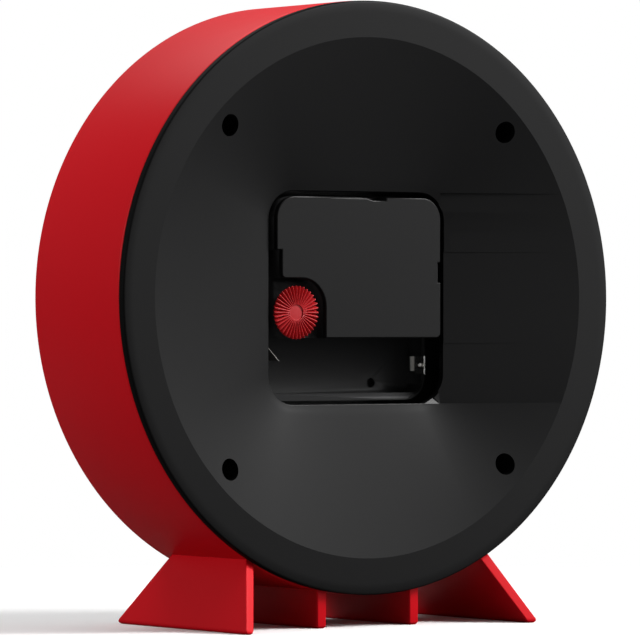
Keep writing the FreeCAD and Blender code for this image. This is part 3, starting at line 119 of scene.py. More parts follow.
def shows_white(tree, way):
    """1 where a ray shows the white sheet: all that the camera sees, and in gloss and through
    glass the part that hangs behind the clock."""
    path = add_step(tree, "LightPath", {}).outputs
    behind = add_step(tree, "VectorMath", {0: way, 1: LOOK}, operation="DOT_PRODUCT").outputs["Value"]
    height = add_step(tree, "SeparateXYZ", {0: way}).outputs["Z"]
    sheet = joined_by(tree, "MULTIPLY", smooth_step(tree, behind, *SHEET_EDGE),
                      smooth_step(tree, height, *SHEET_TOP))
    through = joined_by(tree, "MAXIMUM", path["Is Glossy Ray"], path["Is Transmission Ray"])
    return joined_by(tree, "MAXIMUM", path["Is Camera Ray"], joined_by(tree, "MULTIPLY", through, sheet))


surround = bpy.data.worlds.new("surround")
scene.world = surround
tree = emptied(surround)
way = add_step(tree, "TexCoord", {}).outputs["Generated"]
white_here = shows_white(tree, way)
ambient = add_step(tree, "Background", {"Strength": AMBIENT})
backdrop = add_step(tree, "Background", {"Color": WHITE})
choice = add_step(tree, "MixShader", {0: white_here, 1: ambient.outputs[0], 2: backdrop.outputs[0]})
add_step(tree, "OutputWorld", {"Surface": choice.outputs[0]})

paper = bpy.data.materials.new("white_paper")
tree = emptied(paper)
spot = add_step(tree, "NewGeometry", {}).outputs["Position"]
way = add_step(tree, "VectorMath", {0: spot}, operation="NORMALIZE").outputs["Vector"]
white_here = shows_white(tree, way)
tone = add_step(tree, "MapRange", {"Value": white_here, "To Min": PAPER_LIT, "To Max": PAPER_SHOWN})
matt = add_step(tree, "BsdfDiffuse", {"Color": tone.outputs["Result"]})
glow = add_step(tree, "Emission", {"Color": WHITE})
away = add_step(tree, "VectorMath", {0: spot}, operation="LENGTH").outputs["Value"]
faded = joined_by(tree, "MULTIPLY", smooth_step(tree, away, *PAPER_FADE), white_here)
choice = add_step(tree, "MixShader", {0: faded, 1: matt.outputs[0], 2: glow.outputs[0]})
add_step(tree, "OutputMaterial", {"Surface": choice.outputs[0]})

floor_mesh = bpy.data.meshes.new("floor")
floor_corners = [(x * FLOOR_REACH, y * FLOOR_REACH, 0.0) for x, y in ((-1, -1), (1, -1), (1, 1), (-1, 1))]
floor_mesh.from_pydata(floor_corners, [], [(0, 1, 2, 3)])
floor_mesh.materials.append(paper)
floor = bpy.data.objects.new("floor", floor_mesh)
scene.collection.objects.link(floor)


# Case: one injection moulding in glossy red plastic. The drum has a small rounded edge at each
# end. Two straight fins and two flared side feet grow out of its underside, and the clock stands
# on them.
AXIS = 0.0892
DRUM_RADIUS = 0.0806
DRUM_WALL = 0.0026
DRUM_INSIDE = DRUM_RADIUS - DRUM_WALL
DRUM_REAR = 0.0195
DRUM_FRONT = -0.0225
DRUM_ROUND = 0.0008
DRUM_BREAK = 0.0003
RED = (0.660, 0.003, 0.010)

# A side foot's outer face, front and rear, at its sole and at its neck. Its inner face is a
# little narrower.
SOLE = (0.04866, -0.03225, 0.03210)
NECK = (0.03900, -0.01510, 0.01770)
FOOT_WALL = 0.00317
FOOT_FRONT_TAPER = 0.00096
FOOT_REAR_TAPER = 0.0008
FOOT_TOP = AXIS - math.sqrt(DRUM_INSIDE ** 2 - NECK[0] ** 2)
FOOT_SOLE_ROUND = 0.0016

FIN_PLACE = 0.01381
FIN_WALL = 0.0031
FIN_INSET = 0.00025
FIN_TOP = AXIS - 0.0772
FIN_SOLE_ROUND = 0.0011
PLATE_EDGE = 0.0004

SAME_PLACE = 0.000002
SAME_LEVEL = 0.000001


@contextmanager
def reshaped(mesh):
    """A mesh opened for changes, and written back after them."""
    form = bmesh.new()
    form.from_mesh(mesh)
    yield form
    form.to_mesh(mesh)
    form.free()


def soften(mesh, crease=30.0):
    """Turns the faces outward and shades them smooth, sharp only across creases."""
    with reshaped(mesh) as form:
        bmesh.ops.recalc_face_normals(form, faces=form.faces)
    mesh.polygons.foreach_set("use_smooth", [True] * len(mesh.polygons))
    mesh.set_sharp_from_angle(angle=math.radians(crease))


def new_piece(name, points, faces, body="clock_body", crease=30.0):
    """One mesh object that rides on a body, with the points that fall together made one."""
    mesh = bpy.data.meshes.new(name)
    mesh.from_pydata(points, [], faces)
    piece = bpy.data.objects.new(name, mesh)
    scene.collection.objects.link(piece)
    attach(piece, body)
    with reshaped(mesh) as form:
        bmesh.ops.remove_doubles(form, verts=form.verts, dist=SAME_PLACE)
    soften(mesh, crease)
    return piece


def skin_faces(rings, count, looped=False):
    """The faces over rings of points: round in a loop, or with a flat end at each side."""
    faces = []
    for ring in range(rings if looped else rings - 1):
        near, far = ring * count, (ring + 1) % rings * count
        faces += [(near + i, near + (i + 1) % count, far + (i + 1) % count, far + i) for i in range(count)]
    if not looped:
        faces += [tuple(range(count)), tuple(range((rings - 1) * count, rings * count))]
    return faces


def prism_faces(count):
    """The faces of a prism, its two ends first. Cuts and bevels come out clean in that order."""
    faces = skin_faces(2, count)
    return faces[count:] + faces[:count]


def arc(centre, radius, start, end, steps):
    """Points of an arc, in degrees, as (across, along)."""
    turn = [math.radians(start + (end - start) * k / steps) for k in range(steps + 1)]
    return [(centre[0] + radius * math.cos(a), centre[1] + radius * math.sin(a)) for a in turn]


def lathe(name, profile, centre=(0.0, AXIS), segments=256):
    """A closed profile of (radius, place along Y) turned about an axis parallel to Y."""
    points = []
    for k in range(segments):
        a = 2 * math.pi * k / segments
        points += [(centre[0] + r * math.cos(a), y, centre[1] + r * math.sin(a)) for r, y in profile]
    return new_piece(name, points, skin_faces(segments, len(profile), looped=True))


def round_edges(piece, width, segments, angle):
    """A small rounding along every edge that bends by more than the angle."""
    edge = piece.modifiers.new("rounded_edges", "BEVEL")
    edge.width = width
    edge.segments = segments
    edge.limit_method = "ANGLE"
    edge.angle_limit = math.radians(angle)
    edge.harden_normals = True


def plate(name, sole, root, root_height, sole_round):
    """A plate from its outline on the table up to its root in the drum's wall."""
    points = [(x, y, 0.0) for x, y in sole] + [(x, y, root_height) for x, y in root]
    piece = new_piece(name, points, prism_faces(len(sole)))
    with reshaped(piece.data) as form:
        rim = [e for e in form.edges if all(abs(v.co.z) < SAME_LEVEL for v in e.verts)]
        bmesh.ops.bevel(form, geom=rim, offset=sole_round, offset_type="WIDTH", segments=5, profile=0.5,
                        affect="EDGES", clamp_overlap=True)
    soften(piece.data, 35.0)
    round_edges(piece, PLATE_EDGE, 3, 35)
    return piece


def skin_group(name, extra_inputs):
    """A shader node group that varies a colour and a roughness over a surface and adds a relief."""
    group = bpy.data.node_groups.new(name, "ShaderNodeTree")
    colour, number = "NodeSocketColor", "NodeSocketFloat"
    inputs = [("Color", colour, (0.5, 0.5, 0.5, 1.0)), ("Roughness", number, 0.4)]
    inputs += [(label, number, value) for label, value in extra_inputs]
    for label, kind, value in inputs:
        group.interface.new_socket(name=label, in_out="INPUT", socket_type=kind).default_value = value
    for label, kind in (("Color", colour), ("Roughness", number), ("Height", number)):
        group.interface.new_socket(name=label, in_out="OUTPUT", socket_type=kind)
    return group, group.nodes.new("NodeGroupInput").outputs, group.nodes.new("NodeGroupOutput").inputs


def put_out(group, given, result, factor, height):
    """The group's ends: one factor over colour and roughness, and the relief's height."""
    tone = add_step(group, "VectorMath", {0: given["Color"], "Scale": factor}, operation="SCALE")
    group.links.new(tone.outputs[0], result["Color"])
    group.links.new(joined_by(group, "MULTIPLY", given["Roughness"], factor), result["Roughness"])
    group.links.new(height, result["Height"])


# Moulded plastic has a fine grain from the mould, and drifts slowly in tone and gloss.
moulded, given, result = skin_group("moulded_plastic", [("Grain Scale", 2500.0), ("Tone Drift", 0.05)])
where = add_step(moulded, "TexCoord", {}).outputs["Object"]
grain = add_step(moulded, "TexNoise", {"Vector": where, "Scale": given["Grain Scale"], "Detail": 3.0})
drift = add_step(moulded, "TexNoise", {"Vector": where, "Scale": 14.0, "Detail": 2.0})
centred = joined_by(moulded, "SUBTRACT", drift.outputs[0], 0.5)
factor = add_step(moulded, "Math", {0: centred, 1: given["Tone Drift"], 2: 1.0}, operation="MULTIPLY_ADD")
put_out(moulded, given, result, factor.outputs[0], grain.outputs[0])


def skinned(name, skin, skin_values, relief_depth, body_values):
    """A material whose colour, roughness and relief come from a skin group."""
    material = bpy.data.materials.new(name)
    tree = emptied(material)
    layer = add_step(tree, "Group", skin_values, node_tree=skin, name="skin")
    relief = add_step(tree, "Bump", {"Height": layer.outputs["Height"], "Distance": relief_depth})
    body = add_step(tree, "BsdfPrincipled", {
        "Base Color": layer.outputs["Color"], "Roughness": layer.outputs["Roughness"],
        "Normal": relief.outputs["Normal"], **body_values})
    add_step(tree, "OutputMaterial", {"Surface": body.outputs[0]})
    return material


def plastic(name, color, roughness, specular=0.5, grain_scale=2500.0, grain_depth=0.000004, drift=0.06):
    """A moulded plastic in one colour."""
    values = {"Color": (*color, 1.0), "Roughness": roughness,
              "Grain Scale": grain_scale, "Tone Drift": drift}
    return skinned(name, moulded, values, grain_depth, {"Specular IOR Level": specular})


def finish_with(piece, material):
    """Gives a piece of this script its one material."""
    piece.data.materials.clear()
    piece.data.materials.append(material)


red_shell = plastic("red_shell", RED, 0.42, specular=0.11)
drum = lathe("drum", [
    (DRUM_INSIDE, DRUM_FRONT + DRUM_BREAK), (DRUM_INSIDE + DRUM_BREAK, DRUM_FRONT),
    *arc((DRUM_RADIUS - DRUM_ROUND, DRUM_FRONT + DRUM_ROUND), DRUM_ROUND, -90, 0, 6),
    *arc((DRUM_RADIUS - DRUM_ROUND, DRUM_REAR - DRUM_ROUND), DRUM_ROUND, 0, 90, 6),
    (DRUM_INSIDE, DRUM_REAR),
])
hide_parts("case")
finish_with(drum, red_shell)


def foot_outline(side, level):
    """A side foot's outline at its sole or its neck, from its outer face to its inner one."""
    out, front, rear = level
    within = out - FOOT_WALL
    return [(side * out, front), (side * out, rear),
            (side * within, rear - FOOT_REAR_TAPER), (side * within, front + FOOT_FRONT_TAPER)]


for side, name in ((1, "left_foot"), (-1, "right_foot")):
    foot = plate(name, foot_outline(side, SOLE), foot_outline(side, NECK), FOOT_TOP, FOOT_SOLE_ROUND)
    finish_with(foot, red_shell)
for side, name in ((1, "left_fin"), (-1, "right_fin")):
    near, far = side * FIN_PLACE, side * (FIN_PLACE + FIN_WALL)
    front, rear = DRUM_FRONT + FIN_INSET, DRUM_REAR - FIN_INSET
    outline = [(near, front), (far, front), (far, rear), (near, rear)]
    finish_with(plate(name, outline, outline, FIN_TOP, FIN_SOLE_ROUND), red_shell)

# Dial: a white card 1.2 mm thick with a hole for the movement's bush, laid on the case's ledge
# from the front. Its rear is given a near-black colour as painted shade, and a thin rubber sheet
# between it and the movement stops the movement from turning.
DIAL_FACE = -0.0025
DIAL_THICK = 0.0012
DIAL_SKIN = 0.00005
DIAL_WHITE = (0.80, 0.80, 0.78)
DIAL_REAR_PAINTED_SHADE = (0.012, 0.012, 0.012)


def dress(node, material, edge=0.0):
    """Gives a CAD piece its material, one skin over its facets and broken edges, as modifiers."""
    piece = nodes[node]
    weld = piece.modifiers.new("one_skin", "WELD")
    weld.merge_threshold = SAME_PLACE
    if edge:
        round_edges(piece, edge, 2, 32)
    piece.data.materials.clear()
    piece.data.materials.append(material)


dial_white = plastic("dial_white", DIAL_WHITE, 0.55, drift=0.02)
# Painted shade: the dial's rear skin turns near-black, for the dark inside of the case.
tree = dial_white.node_tree
where = add_step(tree, "TexCoord", {}).outputs["Object"]
depth = add_step(tree, "SeparateXYZ", {0: where}).outputs["Y"]
painted_shade_rear = joined_by(tree, "GREATER_THAN", depth, DIAL_FACE + DIAL_THICK - DIAL_SKIN)
white_face_shaded_rear = add_step(tree, "Mix", {
    "Factor": painted_shade_rear, "A": (*DIAL_WHITE, 1.0), "B": (*DIAL_REAR_PAINTED_SHADE, 1.0)}, data_type="RGBA")
tree.links.new(white_face_shaded_rear.outputs["Result"], tree.nodes["skin"].inputs["Color"])
dress("dial", dial_white)
dress("dial_gasket", plastic("gasket_rubber", (0.02, 0.02, 0.02), 0.8))

# Dial print: plain hour numbers and a minute track, screen-printed in black ink on the dial's
# face. Every fifth mark of the track is longer and wider.
INK = 0.00006
NUMBER_RING = 0.0510
NUMBER_HEIGHT = 0.0175
TRACK_OUTER = 0.0697
# A mark's length and width.
MINUTE_MARK = (0.0020, 0.0005)
HOUR_MARK = (0.0034, 0.0014)


def prism(outline, near, far):
    """Points and faces of an outline of (x, z), carried from one place along Y to another."""
    points = [(x, y, z) for y in (near, far) for x, z in outline]
    return points, prism_faces(len(outline))


def add_mark(points, faces, turn, length, width):
    """Adds one printed mark of the track, turn degrees clockwise from twelve."""
    a = math.radians(turn)
    along = Vector((math.sin(a), math.cos(a)))
    across = Vector((math.cos(a), -math.sin(a))) * width / 2
    inner, outer = along * (TRACK_OUTER - length), along * TRACK_OUTER
    corners = [inner - across, inner + across, outer + across, outer - across]
    mark, sides = prism([(c.x, AXIS + c.y) for c in corners], DIAL_FACE, DIAL_FACE - INK)
    faces += [tuple(len(points) + i for i in side) for side in sides]
    points += mark


def number(hour):
    """One printed hour number, upright, at its place on the dial."""
    curve = bpy.data.curves.new("hour_%d" % hour, "FONT")
    curve.body = str(hour)
    curve.size = NUMBER_HEIGHT
    curve.align_x = "CENTER"
    curve.align_y = "CENTER"
    curve.extrude = INK / 2
    draft = bpy.data.objects.new("draft", curve)
    scene.collection.objects.link(draft)
    graph = bpy.context.evaluated_depsgraph_get()
    mesh = bpy.data.meshes.new_from_object(draft.evaluated_get(graph))
    bpy.data.objects.remove(draft)
    a = math.radians(30 * hour)
    middle = Vector((NUMBER_RING * math.sin(a), DIAL_FACE - INK / 2, AXIS + NUMBER_RING * math.cos(a)))
    xs = [v.co.x for v in mesh.vertices]
    ys = [v.co.y for v in mesh.vertices]
    centre = Vector(((min(xs) + max(xs)) / 2, (min(ys) + max(ys)) / 2))
    for v in mesh.vertices:
        v.co = middle + Vector((v.co.x - centre.x, -v.co.z, v.co.y - centre.y))
    piece = bpy.data.objects.new("number_%d" % hour, mesh)
    scene.collection.objects.link(piece)
    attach(piece, "clock_body")
    return piece


hand_black = plastic("hand_black", (0.015, 0.015, 0.015), 0.4)
track_points, track_faces = [], []
for minute in range(60):
    add_mark(track_points, track_faces, 6 * minute, *(MINUTE_MARK if minute % 5 else HOUR_MARK))
finish_with(new_piece("minute_track", track_points, track_faces), hand_black)
for hour in range(1, 13):
    finish_with(number(hour), hand_black)

# Movement housing: the black moulded box of the snap-in quartz movement, with the open cell bay
# across its foot, the knob's recess at one side and the bush in front. A latch window, a small
# ramp beside it and a lowered stretch are moulded into its upper wall.
WALL_TOP = AXIS + 0.0274
HOUSING_REAR = 0.0145
CUT_ABOVE = 0.0003
# Each cut's left, right and front ends, and its depth below the wall's top.
LATCH_CUTS = (
    ("latch_window", -0.0091, -0.0046, 0.0098, 0.0012),
    ("latch_ramp", -0.0047, -0.0024, 0.0120, 0.0007),
    ("lowered_wall", -0.0025, 0.0094, 0.0131, 0.0006),
)


def block(low, high):
    """Points and faces of a box between two corners."""
    outline = [(low[0], low[2]), (high[0], low[2]), (high[0], high[2]), (low[0], high[2])]
    return prism(outline, low[1], high[1])


def copied(node, name):
    """A piece of its own in the form of a CAD piece, which then takes small cuts."""
    piece = bpy.data.objects.new(name, nodes[node].data.copy())
    scene.collection.objects.link(piece)
    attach(piece, "clock_body")
    with reshaped(piece.data) as form:
        bmesh.ops.remove_doubles(form, verts=form.verts, dist=SAME_PLACE)
    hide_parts(node)
    return piece


def cutter(name, points, faces):
    """A closed tool for one cut, not part of the clock."""
    mesh = bpy.data.meshes.new(name)
    mesh.from_pydata(points, [], faces)
    with reshaped(mesh) as form:
        bmesh.ops.recalc_face_normals(form, faces=form.faces)
    tool = bpy.data.objects.new(name, mesh)
    scene.collection.objects.link(tool)
    return tool


def cut(piece, tools, crease=30.0):
    """Takes each tool away from a piece, for good, and removes the tools."""
    for tool in tools:
        taken = piece.modifiers.new("cut", "BOOLEAN")
        taken.operation = "DIFFERENCE"
        taken.solver = "EXACT"
        taken.object = tool
    graph = bpy.context.evaluated_depsgraph_get()
    made = bpy.data.meshes.new_from_object(piece.evaluated_get(graph))
    piece.modifiers.clear()
    piece.data = made
    for tool in tools:
        bpy.data.objects.remove(tool)
    soften(piece.data, crease)


# Painted light: the housing's black is lighter than the lid's, standing in for fill light in its deep knob
# recess and cell bay.
movement_black_painted_fill = plastic("movement_black_painted_fill", (0.0200, 0.0200, 0.0205), 0.50, specular=0.12,
                         grain_scale=2200.0, grain_depth=0.000006, drift=0.08)
housing = copied("movement_housing", "movement_box")
tools = []
for name, left, right, front, low in LATCH_CUTS:
    space = block((left, front, WALL_TOP - low), (right, HOUSING_REAR, WALL_TOP + CUT_ABOVE))
    tools.append(cutter(name, *space))
cut(housing, tools)
level = housing.modifiers.new("level_faces", "WEIGHTED_NORMAL")
level.mode = "FACE_AREA"
level.weight = 100
level.keep_sharp = True
finish_with(housing, movement_black_painted_fill)

# Motor and electronics: a stator of plated sheet, a bobbin wound with enamelled copper wire, and
# a green board with the quartz can and a drop of resin over its chip. They lie in the housing
# round the moulded plate that carries the wheels' arbors.
rolled, given, result = skin_group("rolled_metal", [("Streak Scale", 900.0)])
where = add_step(rolled, "TexCoord", {}).outputs["Object"]
stretch = add_step(rolled, "Mapping", {"Vector": where, "Scale": (1.0, 1.0, 0.06)})
streaks = add_step(rolled, "TexNoise", {
    "Vector": stretch.outputs[0], "Scale": given["Streak Scale"], "Detail": 4.0}).outputs[0]
spread = add_step(rolled, "MapRange", {"Value": streaks, "To Min": 0.85, "To Max": 1.15})
put_out(rolled, given, result, spread.outputs["Result"], streaks)


def metal(name, color, roughness, streak_scale=900.0, relief_depth=0.000002):
    """A plated or turned metal with fine streaks."""
    values = {"Color": (*color, 1.0), "Roughness": roughness, "Streak Scale": streak_scale}
    return skinned(name, rolled, values, relief_depth, {"Metallic": 1.0})


plated_steel = metal("plated_steel", (0.62, 0.62, 0.63), 0.3)
copper_wire = metal("copper_wire", (0.70, 0.30, 0.14), 0.3, streak_scale=4000.0, relief_depth=0.00001)
plate_plastic = plastic("plate_plastic", (0.74, 0.72, 0.66), 0.4)
dress("train_plate", plate_plastic)
dress("coil_bobbin", plate_plastic)
dress("coil_winding", copper_wire)
dress("stator", plated_steel)
dress("quartz_crystal", plated_steel)
dress("circuit_board", plastic("board_green", (0.03, 0.18, 0.07), 0.35))
dress("chip_cover", plastic("resin_black", (0.012, 0.012, 0.012), 0.15))

# Wheels and arbors: small wheels moulded in natural acetal with their pinions and pivots in one
# piece. They turn in bearings of the housing, the train plate and the lid. The rotor carries a
# dark sintered magnet.
gear_plastic = plastic("gear_plastic", (0.80, 0.79, 0.74), 0.35)
for node in ("minute_arbor", "hour_wheel", "motion_wheel", "centre_wheel", "third_wheel", "seconds_wheel",
             "fifth_wheel", "rotor_pinion"):
    dress(node, gear_plastic)
dress("rotor_magnet", plastic("magnet_black", (0.05, 0.05, 0.055), 0.5))

# Movement lid: the black moulded rear cover of the movement. It snaps over the housing's walls by
# notches round its edge, and its rear edge is rounded.
LID_ROUND = 0.0003
FLAT_WITHIN = 0.5
REAR_EDGE_BEND = 60.0


def sharpen(piece, chosen):
    """Makes the edges sharp whose two ends are chosen."""
    with reshaped(piece.data) as form:
        for edge in form.edges:
            if chosen(edge.verts[0].co, edge.verts[1].co):
                edge.smooth = False


def round_rear(piece, width):
    """Rounds the edge of a piece's rearmost flat face."""
    with reshaped(piece.data) as form:
        bmesh.ops.dissolve_limit(form, angle_limit=math.radians(FLAT_WITHIN),
                                 verts=form.verts, edges=form.edges)
        rear = max(v.co.y for v in form.verts)
        edges = [e for e in form.edges if all(abs(v.co.y - rear) < SAME_LEVEL for v in e.verts)
                 and len(e.link_faces) == 2 and e.calc_face_angle(0.0) > math.radians(REAR_EDGE_BEND)]
        bmesh.ops.bevel(form, geom=edges, offset=width, offset_type="OFFSET", segments=3, profile=0.5,
                        affect="EDGES", clamp_overlap=False)
    soften(piece.data, 40.0)
    sharpen(piece, lambda a, b: min(a.y, b.y) > rear - SAME_LEVEL)


lid_black = plastic("lid_black", (0.0060, 0.0060, 0.0062), 0.39, specular=0.14, grain_scale=2200.0)
lid = copied("movement_lid", "rear_lid")
round_rear(lid, LID_ROUND)
finish_with(lid, lid_black)

# Battery contacts: nickel-plated spring sheet, cut and folded, pressed into the two ends of the
# cell bay. The positive one is an upright plate with a raised nub and a narrow folded tab. The
# negative one is a slanting flap on a short foot.
BAY_FLOOR = 0.00065
PLATE_LOW = (-0.0268, BAY_FLOOR, AXIS - 0.02095)
PLATE_HIGH = (-0.0264, 0.0087, AXIS - 0.0160)
TAB_LOW = (-0.0265, 0.0030, AXIS - 0.0201)
TAB_HIGH = (-0.02577, 0.0033, AXIS - 0.0161)
NUB_CENTRE = (-0.02585, AXIS - 0.0184)
NUB_LEVEL = 0.0073
NUB_RADIUS = 0.0009
HIGHLIGHT_STRIP_ENDS = ((-0.0209, -0.0192), (-0.0177, -0.01605))
HIGHLIGHT_STRIP_X = (PLATE_LOW[0] - 0.00002, PLATE_HIGH[0] + 0.00002)
HIGHLIGHT_STRIP_Y = (0.0086, 0.00872)
FLAP_OUTLINE = ((0.0217, -0.0171), (0.0219, -0.0171), (0.0268, -0.01216), (0.0268, -0.0120))
FLAP_REAR = 0.0082
FLAP_FOOT_LOW = (0.0220, BAY_FLOOR, AXIS - 0.01710)
FLAP_FOOT_HIGH = (0.0268, 0.0040, AXIS - 0.01702)

contact_nickel = metal("contact_nickel", (0.74, 0.73, 0.70), 0.24)
# Painted highlight: a paler, rougher nickel for the tab and for two thin strips on the plate's rear edge.
painted_highlight_nickel = metal("painted_highlight_nickel", (0.86, 0.85, 0.83), 0.55)
# Painted shade: a darker nickel for the negative flap and its foot.
painted_shade_nickel = metal("painted_shade_nickel", (0.34, 0.33, 0.31), 0.5)
upright = new_piece("positive_plate", *block(PLATE_LOW, PLATE_HIGH))
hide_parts("positive_contact")
finish_with(upright, contact_nickel)
nub = lathe("positive_nub", [(0.0, NUB_LEVEL - NUB_RADIUS), *arc((0.0, NUB_LEVEL), NUB_RADIUS, -80, 80, 10),
                             (0.0, NUB_LEVEL + NUB_RADIUS)], centre=NUB_CENTRE, segments=24)
finish_with(nub, contact_nickel)
finish_with(new_piece("positive_tab", *block(TAB_LOW, TAB_HIGH)), painted_highlight_nickel)
# Two thin strips just proud of the plate's rear edge, in the paler nickel, as painted highlight.
for foot, top in HIGHLIGHT_STRIP_ENDS:
    corners = [(x, y, AXIS + z) for x, y, z in zip(HIGHLIGHT_STRIP_X, HIGHLIGHT_STRIP_Y, (foot, top))]
    finish_with(new_piece("painted_highlight_strip", *block(*corners)), painted_highlight_nickel)
flap_outline = [(x, AXIS + z) for x, z in FLAP_OUTLINE]
flap = new_piece("negative_flap", *prism(flap_outline, BAY_FLOOR, FLAP_REAR))
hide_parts("negative_contact")
finish_with(flap, painted_shade_nickel)
flap_foot = new_piece("negative_foot", *block(FLAP_FOOT_LOW, FLAP_FOOT_HIGH))
finish_with(flap_foot, painted_shade_nickel)

# Set knob: a bright red moulded disc on a smaller boss, pressed on the end of the setting arbor.
# Rounded ribs with V grooves between them run in from its scalloped rim to a plain hub, which is
# slightly sunk.
KNOB = (0.0206, AXIS - 0.0040)
KNOB_REAR = 0.0151
KNOB_RADIUS = 0.0073
HUB_SINK = 0.0004
DISC_UNDERSIDE = 0.0017
BOSS_RADIUS = 0.0042
BOSS_LENGTH = 0.0033
RIBS = 36


def knob_mesh(steps=12):
    """The knob's closed skin, as rings of points from the hub out and back under. A ring holds
    its radius, its drop from the rear face, and the depths of its grooves and scallops."""
    rings = [
        (0.0018, HUB_SINK, 0.0, 0.0), (0.00202, HUB_SINK + 0.00002, 0.0, 0.0), (0.00208, HUB_SINK, 0.0, 0.0),
        (0.00216, 0.00010, 0.00004, 0.0), (0.0026, 0.00002, 0.00022, 0.0), (0.0034, 0.0, 0.00046, 0.0),
        (0.0046, 0.0, 0.00078, 0.0), (0.0056, 0.0, 0.00104, 0.0), (0.0064, 0.0, 0.00124, 0.0),
        (0.0070, 0.00004, 0.00138, 0.0001), (KNOB_RADIUS - 0.00008, 0.00014, 0.00136, 0.0003),
        (KNOB_RADIUS, 0.00026, 0.0012, 0.0004), (0.0056, DISC_UNDERSIDE, 0.0, 0.0),
        (BOSS_RADIUS, DISC_UNDERSIDE + 0.0001, 0.0, 0.0), (BOSS_RADIUS, BOSS_LENGTH, 0.0, 0.0),
        (0.0020, BOSS_LENGTH, 0.0, 0.0),
    ]
    around = RIBS * steps
    points = []
    for radius, drop, groove, scallop in rings:
        for k in range(around):
            a = 2 * math.pi * k / around
            valley = 1.0 - abs(math.cos(RIBS * a / 2))
            r = radius - scallop * valley
            y = KNOB_REAR - drop - groove * valley
            points.append((KNOB[0] + r * math.cos(a), y, KNOB[1] + r * math.sin(a)))
    return points, skin_faces(len(rings), around)


knob_red = plastic("knob_red", (0.44, 0.010, 0.014), 0.46, specular=0.30)
knob = new_piece("ribbed_knob", *knob_mesh(), body="setting_group", crease=40.0)
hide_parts("set_knob")
finish_with(knob, knob_red)
dress("setting_arbor", knob_red)

# Washer and hand nut: a plated steel washer and a turned brass nut on the movement's bush. They
# clamp the dial and the rubber sheet against the movement.
dress("nut_washer", plated_steel, edge=0.00005)
dress("hand_nut", metal("turned_brass", (0.78, 0.58, 0.26), 0.25), edge=0.0002)

# Hands: stamped from thin sheet and painted, black for hours and minutes and red for seconds.
# Each has a collar that is pressed on its own tube or arbor, one in front of the other.
HAND_EDGE = 0.00008
dress("hour_hand", hand_black, edge=HAND_EDGE)
dress("minute_hand", hand_black, edge=HAND_EDGE)
dress("second_hand", plastic("hand_red", (0.60, 0.012, 0.018), 0.35), edge=HAND_EDGE)

# Front: a white moulded ring keeps the lens off the dial, the lens is a clear acrylic disc, and a
# red retaining ring holds it in the drum's front end.
LENS_INDEX = 1.49
MOULDED_EDGE = 0.0002


def glass(name):
    """A clear, polished material that lets the lamps' light through."""
    material = bpy.data.materials.new(name)
    tree = emptied(material)
    body = add_step(tree, "BsdfPrincipled", {
        "Base Color": WHITE, "Roughness": 0.0, "IOR": LENS_INDEX, "Transmission Weight": 1.0})
    clear = add_step(tree, "BsdfTransparent", {})
    shadow = add_step(tree, "LightPath", {}).outputs["Is Shadow Ray"]
    choice = add_step(tree, "MixShader", {0: shadow, 1: body.outputs[0], 2: clear.outputs[0]})
    add_step(tree, "OutputMaterial", {"Surface": choice.outputs[0]})
    return material


dress("distance_ring", plastic("white_trim", DIAL_WHITE, 0.45), edge=MOULDED_EDGE)
dress("lens", glass("clear_lens"))
dress("front_bezel", red_shell, edge=MOULDED_EDGE)

# Back cover: a black satin moulding, a flat ring round a dish that falls to the square opening
# over the movement. Four deep wells take its screws, and a plain panel in three shallow steps
# lies beside the opening. Its rim enters the drum.
COVER_FACE = 0.0216
COVER_RADIUS = 0.08048
RIM_ROUND = 0.0006
RIM_BREAK = 0.0001
RIM_SKIN = 0.00004
RIM_SEAT = DRUM_INSIDE - 0.0002
RING_INNER = 0.0706
RING_LOOPS = (0.0775, 0.0740, RING_INNER)
UNDERSIDE = (RING_INNER + 0.001, DRUM_REAR - 0.0003)
DISH_DEPTH = 0.00785
DISH_FLOOR = COVER_FACE - DISH_DEPTH
OPENING_HALF = 0.0289
OPENING_ROUND = 0.0080
LIP_ROUND = 0.0003
LIP_BEND = 78.0
COVER_WALL = 0.0022
SIDE_ANGLE = 30.0
FAR_SIDE_WIDER = 0.0006
FAR_SIDE_START = 0.02
# Each band's foot and top, and how far it lies behind the dish's own slope.
BANDS = (
    ("upper_band", 0.0127, 0.0290, 0.00008),
    ("middle_band", -0.0124, 0.0127, 0.0003),
    ("lower_band", -0.0290, -0.0124, 0.00045),
)
OVERCUT = 0.001
NEAR_CREASE = 0.0002
NEAR_FACE = 0.0001
SCREW_PLACE = 0.04582
WELL_RADIUS = 0.00295
WELL_OUTSIDE = WELL_RADIUS + 0.00135
WELL_HOLE = 0.0017
WELL_SEAT = (0.0064, 0.0080)
WELL_REAR = 0.0188
MOUTH_CUT = (0.03, 0.01)
RAMP = ((-0.0228, 0.01385, -0.02905), (-0.0276, 0.01425, -0.02905), (-0.0262, 0.0133, -0.0274))
RAMP_CUT_REAR = 0.0200
RAMP_THICK = 0.0004
RAMP_PROUD = 0.00002
BLACK = (0.0036, 0.0036, 0.0038)


def dish_rays(steps=36):
    """Matching points of the dish's crease circle and of the rounded square opening, with the
    way outward at the opening."""
    straight = OPENING_HALF - OPENING_ROUND
    rays = []
    for quarter in range(4):
        turn = Matrix.Rotation(math.radians(90 * quarter), 2)
        for k in range(steps):
            share = 2 * k / steps - 1
            a = math.radians(SIDE_ANGLE * share)
            rays.append((turn @ Vector((math.cos(a), math.sin(a))),
                         turn @ Vector((OPENING_HALF, straight * share)), turn @ Vector((1.0, 0.0))))
        for k in range(steps):
            a = math.radians(SIDE_ANGLE + (90 - 2 * SIDE_ANGLE) * k / steps)
            b = math.radians(90 * k / steps)
            out = Vector((math.cos(b), math.sin(b)))
            rays.append((turn @ Vector((math.cos(a), math.sin(a))),
                         turn @ (Vector((straight, straight)) + OPENING_ROUND * out), turn @ out))
    return rays


